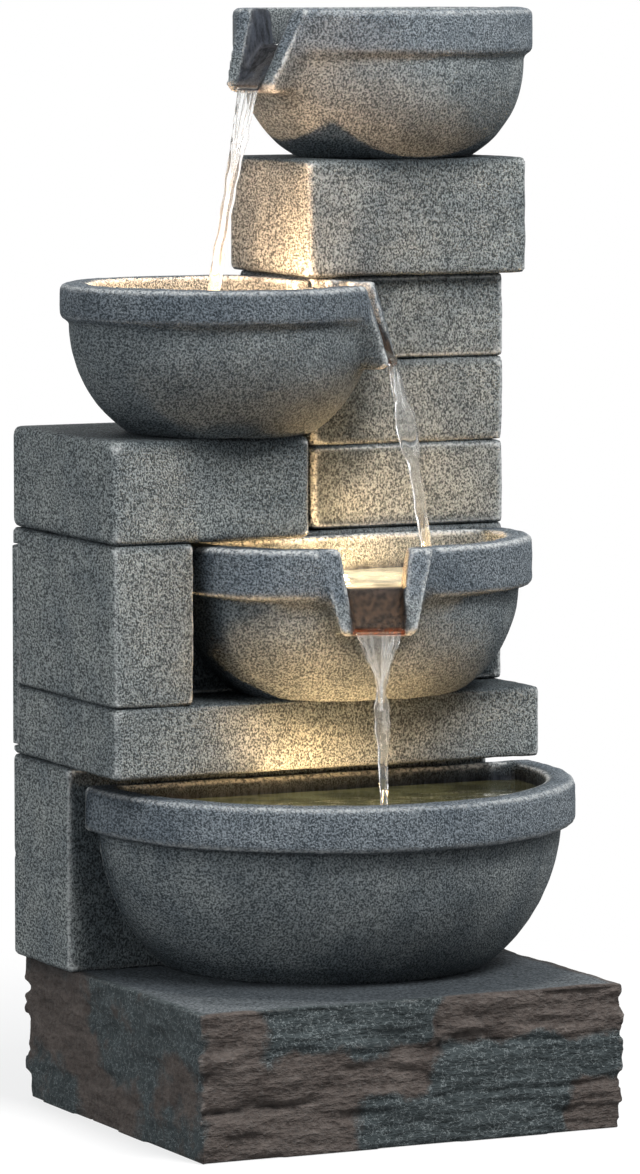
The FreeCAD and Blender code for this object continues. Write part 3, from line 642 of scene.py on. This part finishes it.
class Surroundings:
    """Where stone stands, on a coarse grid."""

    def __init__(self, pieces):
        points = np.concatenate([points_of(piece.data) for piece in pieces])
        self.low = points.min(0) - occlusion_cell
        self.taken = np.zeros(self.cells(points).max(0) + 2, bool)
        self.taken[tuple(self.cells(points).T)] = True

    def cells(self, points):
        return ((points - self.low) / occlusion_cell).astype(int)

    def shelter(self, points, normals):
        """Share of the ways from a face towards the sky that end on stone."""
        top = np.array(self.taken.shape) - 1
        hidden = np.zeros(len(points))
        for lean in occlusion_leans:
            way = normals + np.array(lean)
            way /= np.linalg.norm(way, axis=1, keepdims=True) + 1e-6
            met = np.zeros(len(points), bool)
            for step in range(1, occlusion_steps):
                spot = self.cells(points + (normals * occlusion_start + way * step) * occlusion_cell)
                met |= self.taken[tuple(np.clip(spot, 0, top).T)] & ((spot >= 0) & (spot <= top)).all(1)
            hidden += met
        return hidden / len(occlusion_leans)


def put_mark(mesh, name, values):
    """Keep a value for each point, for the finish to read."""
    mark = mesh.attributes.new(name, "FLOAT", "POINT")
    mark.data.foreach_set("value", np.asarray(values, np.float32))


def finished(piece, points, node, finish, body):
    """Move a fine piece's points, thin out its faces, and let it stand for its node."""
    piece.data.vertices.foreach_set("co", points.astype(np.float32).ravel())
    thin = piece.modifiers.new("thin", "DECIMATE")
    thin.ratio = kept_slate_faces if finish == "slate" else kept_faces
    settled(piece)
    piece.data.shade_smooth()
    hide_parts(node)
    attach(piece, body)


def wear_and_shade_marks(mesh, points, weathering, grime=0.0):
    """Mark the worn edges, the dirty grooves and the painted shade of a piece.

    Painted shade: darker where stone hides the sky and on faces turned down; extra shade darkens all of it.
    """
    normals = normals_of(mesh)
    proud = proudness(mesh, points, proud_passes)
    upright = 1 - (1 - weathering.level_wear) * between(*level_fade, np.abs(normals[:, 2]))
    put_mark(mesh, "wear", between(*wear_fade, proud / weathering.wear_depth) * upright)
    put_mark(mesh, "groove", between(*groove_fade, -proud / weathering.groove_depth))
    # Painted shade: darker where stone hides the sky from a face
    shelter = smoothed(edges_of(mesh), surroundings.shelter(points, normals)[:, None], occlusion_passes)
    # Painted shade on faces that turn down
    underside_shade = underside_shade_share * between(*underside_shade_fade, -normals[:, 2])
    open_sky = 1 - between(*painted_shade_fade, shelter[:, 0])
    # The painted shade mark joins hidden sky, faces turned down and a whole piece's extra painted shade
    put_mark(mesh, "shelter", 1 - open_sky * (1 - underside_shade) * (1 - grime))


def heading(angle):
    return np.array((math.cos(angle), math.sin(angle)))


class Bowl:
    """Where a bowl's axis, hollow, water and spout are.

    Its mouth has a radius, and a ratio of depth to width. Each limit is a plane that cuts the hollow: its
    axis, its place, and where it counts.
    """

    def __init__(self, node, axis, look, radius, foot, rim_height, limit, ratio=1.0, spout=None, lens=None):
        low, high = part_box(node)
        self.node = node
        self.look = look
        self.axis = np.array(axis)
        self.lens = np.mean([corner[:2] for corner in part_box(lens)], axis=0) if lens else self.axis
        self.ratio = ratio
        self.mouth = radius - rim_wall
        self.foot = foot - bowl_wall / 2
        self.floor = low.z + bowl_floor
        self.rim = high.z
        self.rim_height = rim_height
        self.limit = limit
        self.spout = spout
        self.water = self.rim - basin_freeboard
        if spout:
            angle = math.radians(spout.angle)
            self.out = np.array((math.sin(angle), -math.cos(angle)))
            self.across = np.array((math.cos(angle), math.sin(angle)))
            edge = 1 / math.hypot(self.out[0] / radius, self.out[1] / (radius * ratio))
            self.tip = edge + spout.reach
            self.brink = edge - rim_wall / 2
            self.sill_start = edge - rim_wall
            self.sill = self.rim - spout_sill
            self.lip = self.rim - spout_drop + spout_lip
            self.water = self.sill + water_over_sill

    def chute_half(self, height):
        """Half the spout channel's width at a height."""
        share = (self.rim - height) / spout_drop
        return (self.spout.width + (self.spout.lip_width - self.spout.width) * share) / 2

    def spout_point(self, along, aside, height):
        place = self.axis + self.out * along + self.across * aside
        return np.array((place[0], place[1], height))

    def chute_floor(self, along):
        """Height of the spout's floor at a distance from the axis."""
        share = np.clip((along - self.brink) / (self.tip - self.brink), 0, 1)
        return self.sill + (self.lip - self.sill) * share

    def from_axis(self, points):
        """Distance from the axis, as if the mouth were round."""
        flat = points[:, :2] - self.axis
        return np.hypot(flat[:, 0], flat[:, 1] / self.ratio)

    def hollow(self, height):
        """Radius of the bowl's hollow at a height."""
        share = np.linspace(0, 1, 30)
        rise = self.rim - self.rim_height - self.floor
        spread = self.mouth - self.foot
        bulge = 4 * belly_bulge * share * (1 - share) / math.hypot(rise, spread)
        return np.interp(height, self.floor + rise * share - spread * bulge,
                         self.foot + spread * share + rise * bulge)

    def edge_at(self, angle, radius):
        """Distance from the axis to the hollow's wall in a direction, where its radius is given."""
        ray = heading(angle)
        reach = radius / math.hypot(ray[0], ray[1] / self.ratio)
        for side, bound, keeps in self.limit:
            if ray[side] > 1e-6:
                stop = (bound - self.axis[side]) / ray[side]
                if stop < reach and keeps(self.axis + ray * stop):
                    reach = stop
        return reach


def always(point):
    return True


def known_bowls():
    """The four bowls, placed by their nodes' boxes."""
    top_low, top_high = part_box("top_bowl")
    left_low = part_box("left_bowl")[0]
    middle_low, middle_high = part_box("middle_bowl")
    basin_low, basin_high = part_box("lower_basin")
    column_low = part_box("column_lower")[0]
    middle_radius = (middle_high.x - middle_low.x) / 2
    basin_radius = (basin_high.x - basin_low.x) / 2
    notch = (column_low.x - bowl_wall, column_low.y - bowl_wall)
    return {
        "top": Bowl(
            "top_bowl", (top_high.x - top_radius, top_low.y + top_radius), top_look,
            radius=top_radius, foot=0.080, rim_height=0.041, spout=top_spout,
            limit=[(1, top_high.y - bowl_wall, always)]),
        "left": Bowl(
            "left_bowl", (left_low.x + left_radius, left_low.y + left_radius), left_look,
            radius=left_radius, foot=0.082, rim_height=0.032, spout=left_spout, lens="left_light_lens",
            limit=[(0, notch[0], lambda point: point[1] > notch[1])]),
        "middle": Bowl(
            "middle_bowl", (middle_low.x + middle_radius, middle_high.y - middle_straight), middle_look,
            radius=middle_radius, ratio=middle_ratio, foot=0.101, rim_height=0.045, spout=middle_spout,
            lens="middle_light_lens", limit=[(1, middle_high.y - bowl_wall, always)]),
        "basin": Bowl(
            "lower_basin", (basin_low.x + basin_radius, basin_low.y + basin_radius), basin_look,
            radius=basin_radius, foot=0.148, rim_height=0.041, lens="basin_light_lens",
            limit=[(1, basin_high.y - bowl_wall, always)]),
    }


bowls = known_bowls()
blocks = ("sump_block", "ledge_slab", "left_pillar", "back_wall", "cap_block",
          "column_lower", "column_middle", "column_upper", "top_block")
stone_slots = {
    "plinth": "slate", "rear_door": "door_panel",
    **dict.fromkeys(blocks, "block_stone"),
    **{bowl.node: "bowl_stone" for bowl in bowls.values()},
}
stones = {node: fine_copy(node, slot) for node, slot in stone_slots.items()}
surroundings = Surroundings(stones.values())


def uneven(points, normals):
    """Slight hand-cast unevenness, left out at the rear where the door seats."""
    keep = 1 - between(plain_rear - plain_fade, plain_rear, points[:, 1])
    return points + normals * (waves(points, casting_waves) * keep)[:, None]


def make_block(node, body="fountain"):
    """Cast block with a sandy face and worn edges."""
    piece = stones[node]
    mesh = piece.data
    points = points_of(mesh)
    wear_and_shade_marks(mesh, points, block_weathering)
    for name in ("rim", "wet", "rust", "stain"):
        put_mark(mesh, name, np.zeros(len(points)))
    points = uneven(points, normals_of(mesh))
    finished(piece, points, node, stone_slots[node], body)


def make_bowl(bowl):
    """Cast bowl with a blue-grey rim, and wet where the water runs."""
    piece = stones[bowl.node]
    mesh = piece.data
    points = points_of(mesh)
    wear_and_shade_marks(mesh, points, bowl_weathering, bowl.look.grime)
    height = points[:, 2]
    inside = 1 - between(*hollow_fade, bowl.from_axis(points) - bowl.hollow(height))
    inside *= between(*floor_fade, height - bowl.floor)
    wet = inside * (1 - between(*tide_fade, height - bowl.water))
    rust = np.zeros(len(points))
    stain = np.zeros(len(points))
    if bowl.spout:
        flat = points[:, :2] - bowl.axis
        along = flat @ bowl.out
        aside = np.abs(flat @ bowl.across)
        past_wall = aside - bowl.chute_half(height)
        past_brink = along - bowl.brink
        channel = 1 - between(*channel_side_fade, past_wall)
        channel *= between(*channel_start_fade, past_brink) * between(*channel_lip_fade, height - bowl.lip)
        cheek = between(*cheek_side_fade, past_wall) * (1 - between(*cheek_reach_fade, aside))
        cheek *= between(*cheek_start_fade, past_brink) * between(*cheek_rim_fade, bowl.rim - height)
        floor = 1 - between(*chute_fade, height - bowl.chute_floor(along))
        wet = np.maximum(wet, channel * np.maximum(floor, bowl.look.damp))
        rust = bowl.look.rust * channel * floor * between(*rust_start_fade, past_brink)
        lip = bowl.look.rust * (1 - between(*stain_fade, np.abs(height - bowl.lip + stain_height)))
        lip *= between(*stain_start_fade, along - bowl.tip)
        stain = lip * (1 - between(*stain_fade, aside - bowl.spout.lip_width / 2))
        points = filled_corners(mesh, points, cheek_share * cheek, cheek_passes)
    rim_band = between(*rim_fade, height - (bowl.rim - bowl.rim_height))
    put_mark(mesh, "wet", wet)
    put_mark(mesh, "rust", rust)
    put_mark(mesh, "stain", stain)
    put_mark(mesh, "rim", rim_band * (1 - inside))
    points = uneven(points, normals_of(mesh))
    finished(piece, points, bowl.node, "bowl_stone", "fountain")


def slate_stones(side, along, height):
    """Rust of the stone at each place on one side of the plinth, and how near its joints are."""
    rows = slate_rows[side]
    level = np.clip(height * len(rows), 0, len(rows) - 0.001)
    row = level.astype(int)
    bed = np.minimum(level - row, row + 1 - level)
    bed[(level < 0.5) | (level > len(rows) - 0.5)] = 0.5
    rust = np.zeros(len(along))
    joint = np.full(len(along), 1.0)
    for index, course in enumerate(rows):
        start = 0.0
        for end, tint in course:
            here = (row == index) & (along >= start) & (along <= end)
            rust[here] = tint
            near = np.minimum(along - start if start > 0 else 1.0, end - along if end < 1 else 1.0)
            joint[here] = np.minimum(joint[here], np.broadcast_to(near, along.shape)[here])
            start = end
    return rust, bed, joint


def make_plinth():
    """Plinth of split slate: three courses of rusty and grey stones, broken into thin leaves."""
    piece = stones["plinth"]
    mesh = piece.data
    points = points_of(mesh).astype(float)
    normals = normals_of(mesh).astype(float)
    low, high = (np.array(corner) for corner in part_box("plinth"))
    share = (points - low) / (high - low)
    gaps = {
        "left": points[:, 0] - low[0], "right": high[0] - points[:, 0],
        "front": points[:, 1] - low[1], "rear": high[1] - points[:, 1],
    }
    runs = {"left": 1 - share[:, 1], "right": share[:, 1], "front": share[:, 0], "rear": 1 - share[:, 0]}
    nearest = np.min(list(gaps.values()), axis=0)
    outer = 1 - between(*shell_fade, nearest)
    rust = np.zeros(len(points))
    joint = np.zeros(len(points))
    wobble = waves(points, joint_waves)
    drift = waves(points, colour_waves)
    for side, gap in gaps.items():
        here = gap <= nearest + 1e-9
        _, bed, upright = slate_stones(side, runs[side][here] + wobble[here], share[here, 2] + wobble[here])
        rust[here] = slate_stones(side, runs[side][here] + drift[here], share[here, 2] + 2 * drift[here])[0]
        upright = upright_joint_share * (1 - between(*upright_joint_fade, upright))
        joint[here] = np.maximum(1 - between(*bed_joint_fade, bed), upright)
    joint *= between(*joint_break_fade, swell(points, joint_break_length))
    leaf = points * np.array((1 / shelf_length, 1 / shelf_length, 1 / shelf_height))
    leaves = waves(leaf, shelf_waves)
    steps = np.round(leaves * shelf_steps) / shelf_steps
    shelves = steps * shelf_sharpness + leaves * (1 - shelf_sharpness)
    crumble = swell(points * np.array(crumble_stretch), crumble_length)
    strata = swell(points * np.array(strata_stretch), strata_length)
    ledge = shelf_relief * (shelves - shelf_level) * (grey_relief + rust_relief * rust)
    ledge += crumble_relief * crumble + strata_relief * strata - joint_depth * joint
    ledge *= 1 - calm_left_side * (gaps["left"] <= nearest)
    height = points[:, 2]
    side_face = outer * (1 - between(*side_lean_fade, np.abs(normals[:, 2])))
    side_face *= between(*side_foot_fade, height)
    top_face = between(*top_lean_fade, normals[:, 2]) * between(*top_fade, height - high[2])
    points = points + normals * (ledge * side_face + waves(points, top_waves) * top_face)[:, None]
    wear_and_shade_marks(mesh, points.astype(np.float32), slate_weathering)
    put_mark(mesh, "rust", smoothed(edges_of(mesh), rust[:, None], rust_passes)[:, 0])
    put_mark(mesh, "tread", top_face * between(*tread_fade, nearest))
    finished(piece, points, "plinth", "slate", "fountain")


def lofted(name, rings, finish):
    """Closed skin over a row of point rings of equal length, facing outward."""
    count = len(rings[0])
    form = bmesh.new()
    rows = [[form.verts.new(point) for point in ring] for ring in rings]
    for row, following in zip(rows, rows[1:]):
        for k in range(count):
            j = (k + 1) % count
            form.faces.new((row[k], row[j], following[j], following[k]))
    form.faces.new(rows[0])
    form.faces.new(rows[-1])
    bmesh.ops.recalc_face_normals(form, faces=form.faces)
    mesh = bpy.data.meshes.new(name)
    form.to_mesh(mesh)
    form.free()
    mesh.shade_smooth()
    return shown(name, mesh, finish)


def wet_piece(piece):
    """Water moves with the fountain and lets light through without a shadow."""
    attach(piece, "fountain")
    piece.visible_shadow = False
    return piece


def put_glow(piece, bowl):
    """Mark the water's face, as far as the brink, where the bowl's light shines up through it."""
    points = points_of(piece.data)
    away = np.hypot(*(points[:, :2] - bowl.lens).T)
    glow = bowl.look.glow * np.exp(-(away / glow_reach) ** 2)
    glow *= between(*glow_depth_fade, points[:, 2] - bowl.water)
    if bowl.spout:
        glow *= 1 - between(*glow_brink_fade, (points[:, :2] - bowl.axis) @ bowl.out - bowl.brink)
    put_mark(piece.data, "glow", glow)


def make_pool(bowl, name, landing):
    """Water filling a bowl, its surface rippled by the stream that lands in it."""
    turns, steps, sinks = 120, 40, 12
    angles = [2 * math.pi * turn / turns for turn in range(turns)]
    rings = []
    for step in range(1, steps + 1):
        ring = []
        for angle in angles:
            reach = (bowl.edge_at(angle, bowl.mouth) + water_skin) * step / steps
            spot = bowl.axis + reach * heading(angle)
            height = bowl.water + calm_height * noise.noise(Vector((*spot * calm_pitch, 0)))
            if landing is not None:
                away = math.dist(spot, landing)
                height += ring_height * math.cos(away * ring_pitch) * math.exp(-away / ring_reach)
                height += mound_height * math.exp(-(away / mound_radius) ** 2)
            ring.append((*spot, height))
        rings.append(ring)
    for sink in range(1, sinks + 1):
        height = bowl.water + (bowl.floor - water_skin - bowl.water) * sink / sinks
        radius = bowl.hollow(height)
        ring = []
        for angle in angles:
            reach = bowl.edge_at(angle, radius) + water_skin
            ring.append((*(bowl.axis + reach * heading(angle)), height))
        rings.append(ring)
    put_glow(wet_piece(lofted(name, rings, "water" if bowl.spout else "basin_water")), bowl)


def make_overflow(bowl, name):
    """Water that runs over a spout's sill, bends at the brink and thins out down the chute."""
    columns, rows = 24, 34
    stops = np.linspace(bowl.sill_start - overflow_start, bowl.tip + overflow_end, rows + 1)
    bend = np.mean([bowl.chute_floor(stops + shift) for shift in (-brink_bend, 0, brink_bend)], axis=0)
    depth = lip_film + (water_over_sill - lip_film) * (1 - between(*thinning_fade, stops - bowl.brink))
    bed = bowl.chute_floor(stops) - water_skin
    rings = []
    for column in range(columns + 1):
        side = 2 * column / columns - 1
        streaks = np.array([noise.noise(Vector((side * 9, along * 30, bowl.rim))) for along in stops])
        top = bend + depth + streak_height * streaks * between(*streak_fade, stops - bowl.brink)
        section = list(zip(stops, top)) + list(zip(stops[::-1], bed[::-1]))
        rings.append([bowl.spout_point(along, side * (bowl.chute_half(height) + water_skin / 2), height)
                      for along, height in section])
    put_glow(wet_piece(lofted(name, rings, "film")), bowl)


def make_stream(name, path, shape, aside=0.0, gather=1.0, end=1.0):
    """Falling water from a spout's lip: shape gives half width, half thickness and twist down the fall.

    The path is the bowl it leaves, where it lands, the level there and how steeply it starts. A strand that
    starts aside of the middle is drawn in by the gather share of the fall, and ends at the end share.
    """
    samples, around = 90, 24
    bowl, landing, level, steepness = path
    start = bowl.spout_point(bowl.tip - stream_start, 0, bowl.lip)
    drop = np.array((*landing, level)) - start
    across, out = np.array((*bowl.across, 0)), np.array((*bowl.out, 0))
    rings = []
    for sample in range(samples + 1):
        fall = end * sample / samples
        ahead = (math.sqrt(steepness ** 2 + 4 * (1 - steepness) * fall) - steepness) / (2 * (1 - steepness))
        inward = 1 - between(0, gather, fall)
        centre = start + drop * np.array((ahead, ahead, fall)) + aside * inward * across
        half, thick, twist = shape(fall)
        turn = math.radians(twist)
        wide = across * math.cos(turn) + out * math.sin(turn)
        deep = out * math.cos(turn) - across * math.sin(turn)
        sway = stream_sway * noise.noise(Vector((fall * 9, aside * 400, bowl.rim)))
        ring = []
        for k in range(around):
            angle = 2 * math.pi * k / around
            flank = math.cos(angle)
            belly = math.sin(angle) * (stream_core + stream_flank * flank * flank)
            spot = Vector((flank * 1.7, math.sin(angle) * 1.7, fall * 18 + aside * 90))
            rough = 1 + stream_roughness * noise.noise(spot)
            ring.append(centre + wide * (half * flank * rough + sway) + deep * thick * belly * rough)
        rings.append(ring)
    wet_piece(lofted(name, rings, "falling_water"))


def curve_through(stops):
    """Smooth function through places and values."""
    def value(share):
        for (near, low), (far, high) in zip(stops, stops[1:]):
            if share <= far:
                t = (share - near) / (far - near)
                return low + (high - low) * t * t * (3 - 2 * t)
        return stops[-1][1]
    return value


def shaped(half, thick, twist):
    """Half width, half thickness and twist at a share of the fall, each through its own stops."""
    curves = [curve_through(stops) for stops in (half, thick, twist)]
    return lambda share: [curve(share) for curve in curves]


def make_water():
    """Pools, overflowing sills and falling streams."""
    top_fall, left_fall, middle_fall = (
        (bowls[above], landings[below], bowls[below].water, steepness)
        for above, below, steepness in stream_falls)
    for name, bowl in bowls.items():
        make_pool(bowl, f"{name}_pool", landings.get(name))
    for name in ("top", "left", "middle"):
        make_overflow(bowls[name], f"{name}_overflow")
    thread = shaped(
        ((0, 0.0013), (0.3, 0.0011), (1, 0.0010)),
        ((0, 0.0012), (0.3, 0.0010), (1, 0.0010)),
        ((0, 0.0), (1, 60.0)),
    )
    make_stream("top_stream", top_fall, shaped(
        ((0, 0.0145), (0.17, 0.0085), (0.33, 0.0066), (0.48, 0.0055), (1, 0.0058)),
        ((0, 0.0008), (0.2, 0.0020), (0.5, 0.0036), (1, 0.0042)),
        ((0, 0.0), (0.33, -50.0), (0.6, -35.0), (1, -60.0)),
    ))
    for index, aside in enumerate((-0.0135, -0.0090, -0.0030, 0.0050, 0.0110)):
        make_stream(f"top_thread_{index}", top_fall, thread, aside, gather=0.5, end=0.55)
    make_stream("left_stream", left_fall, shaped(
        ((0, 0.0180), (0.14, 0.0080), (0.30, 0.0096), (0.42, 0.0082), (0.49, 0.0046),
         (0.60, 0.0056), (1, 0.0064)),
        ((0, 0.0052), (0.14, 0.0042), (0.30, 0.0030), (0.49, 0.0040), (1, 0.0052)),
        ((0, 0.0), (0.14, 25.0), (0.30, 80.0), (0.49, 110.0), (1, 150.0)),
    ))
    make_stream("middle_stream", middle_fall, shaped(
        ((0, 0.0195), (0.13, 0.0110), (0.24, 0.0062), (0.31, 0.0040), (0.41, 0.0068),
         (0.52, 0.0066), (0.70, 0.0041), (1, 0.0050)),
        ((0, 0.0006), (0.24, 0.0016), (0.31, 0.0034), (0.45, 0.0026), (0.70, 0.0038),
         (1, 0.0044)),
        ((0, 0.0), (0.31, 15.0), (0.70, 40.0), (1, 100.0)),
    ))
    for index, aside in enumerate((-0.0185, -0.0140, -0.0080, 0.0030, 0.0070, 0.0120, 0.0175)):
        make_stream(f"middle_thread_{index}", middle_fall, thread, aside, gather=0.33, end=0.42)


def dress_nodes():
    """Give the pieces inside, which keep their own forms, the finish of their slot."""
    by_slot = {
        "steel": ("hose_clamps", "door_pegs"),
        "hose": ("riser_hose",),
        "fitting": ("spigot", "spigot_nut", "pump_nozzle"),
        "rubber": ("spigot_gasket", "pump_suction_cups", "cable_grommet"),
        "pump_case": ("pump_body", "pump_volute", "pump_strainer"),
        "shaft": ("pump_shaft",),
        "rotor": ("pump_impeller",),
        "dial": ("pump_dial",),
        "light_case": ("left_light_body", "middle_light_body", "basin_light_body"),
        "light_lens": ("left_light_lens", "middle_light_lens", "basin_light_lens"),
    }
    for slot, names in by_slot.items():
        for name in names:
            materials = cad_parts[name].data.materials
            materials.clear()
            materials.append(finishes[slot])


def seen_directly(finish):
    """1 for rays that show the background as it is: straight, mirrored or through water."""
    camera, glossy, through = (
        finish.node("ShaderNodeLightPath", {}, {}, name)
        for name in ("Is Camera Ray", "Is Glossy Ray", "Is Transmission Ray"))
    settings = {"operation": "ADD", "use_clamp": True}
    return finish.node("ShaderNodeMath", settings, {0: camera + glossy, 1: through})


def make_world():
    """White background, and an even studio light on the object."""
    world = bpy.data.worlds.new("studio")
    world.use_nodes = True
    bpy.context.scene.world = world
    finish = Finish(world.node_tree)
    background = world.node_tree.nodes["Background"]
    finish.feed(background, {"Color": (0.94, 0.97, 1.0, 1), "Strength": 0.38})
    white = finish.node("ShaderNodeBackground", {}, {"Color": (1, 1, 1, 1), "Strength": 1.0})
    shown_light = finish.node("ShaderNodeMixShader", {}, {
        0: seen_directly(finish), 1: Signal(finish, background.outputs[0]), 2: white,
    })
    finish.feed(world.node_tree.nodes["World Output"], {"Surface": shown_light})


def make_floor():
    """Pale floor that keeps the object's shadow."""
    mesh = bpy.data.meshes.new("floor")
    size = 40.0
    level = -0.0005
    corners = [(-size, -size, level), (size, -size, level), (size, size, level), (-size, size, level)]
    mesh.from_pydata(corners, [], [(0, 1, 2, 3)])
    floor = bpy.data.objects.new("floor", mesh)
    bpy.context.scene.collection.objects.link(floor)
    material = bpy.data.materials.new("floor")
    material.use_nodes = True
    finish = Finish(material.node_tree)
    material.node_tree.nodes.remove(material.node_tree.nodes["Principled BSDF"])
    glow = finish.node("ShaderNodeEmission", {}, {"Color": (1, 1, 1, 1), "Strength": 1.0})
    pale = finish.node("ShaderNodeBsdfDiffuse", {}, {"Color": (0.95, 0.95, 0.95, 1)})
    dull = finish.node("ShaderNodeBsdfDiffuse", {}, {"Color": (0.18, 0.18, 0.18, 1)})
    away = finish.node("ShaderNodeVectorMath", {"operation": "LENGTH"}, {0: finish.place((1, 1, 0))}, "Value")
    near = finish.ramp(away, (0.45, 0.26), (1.0, 0.0))
    straight = finish.node("ShaderNodeMixShader", {}, {0: near, 1: glow, 2: pale})
    shade = finish.node("ShaderNodeMixShader", {}, {0: seen_directly(finish), 1: dull, 2: straight})
    finish.feed(material.node_tree.nodes["Material Output"], {"Surface": shade})
    mesh.materials.append(material)


def make_lamp(name, kind, place, power, size, colour, target=None):
    """Lamp in the scene, turned to a target where it has one."""
    lamp = bpy.data.lights.new(name, kind)
    lamp.energy = power
    lamp.color = colour
    if kind == "SPOT":
        lamp.spot_size = math.radians(spot_angle)
        lamp.spot_blend = spot_softness
    if kind == "AREA":
        lamp.size = size
    else:
        lamp.shadow_soft_size = size
    item = bpy.data.objects.new(name, lamp)
    item.location = place
    if target is not None:
        item.rotation_euler = (Vector(target) - Vector(place)).to_track_quat("-Z", "Y").to_euler()
    bpy.context.scene.collection.objects.link(item)


def make_lights():
    """A broad key from above, a fill from each side and behind, and the warm glow of each bowl's light."""
    middle = (0, 0, 0.5)
    make_lamp("key", "AREA", (0.4, -1.9, 3.05), 116, 1.0, (1.0, 0.99, 0.98), middle)
    make_lamp("left_fill", "AREA", (-3.2, -1.4, 1.3), 46, 1.6, (0.95, 0.98, 1.0), middle)
    make_lamp("right_fill", "AREA", (2.8, -1.2, 1.5), 20, 1.6, (0.97, 0.99, 1.0), middle)
    make_lamp("rear_fill", "AREA", (0.9, 3.0, 1.9), 26, 1.6, (0.97, 0.99, 1.0), middle)
    warm = (1.0, 0.62, 0.28)
    make_lamp("left_glow", "POINT", (-0.075, 0.025, 0.735), 3.9, 0.020, (1.0, 0.60, 0.32))
    make_lamp("middle_glow", "POINT", (0.016, 0.000, 0.485), 2.4, 0.015, warm)
    make_lamp("basin_glow", "SPOT", (-0.028, -0.117, 0.290), 3.2, 0.015, warm, (-0.005, -0.045, 0.390))
    make_lamp("basin_wash", "POINT", (-0.045, -0.050, 0.296), 0.45, 0.010, warm)


def make_camera():
    """Camera at the photograph's place and angle."""
    camera = bpy.data.cameras.new("camera")
    camera.lens = camera_lens
    camera.sensor_width = camera_sensor
    item = bpy.data.objects.new("camera", camera)
    item.location = camera_place
    item.rotation_euler = Euler((math.radians(90 - camera_pitch), 0, math.radians(-camera_heading)))
    bpy.context.scene.collection.objects.link(item)
    bpy.context.scene.camera = item


bpy.context.scene.view_settings.view_transform = "Standard"
make_camera()
make_world()
make_floor()
make_lights()
dress_nodes()
make_plinth()
for block in blocks:
    make_block(block)
make_block("rear_door", "door")
for bowl_place in bowls.values():
    make_bowl(bowl_place)
make_water()
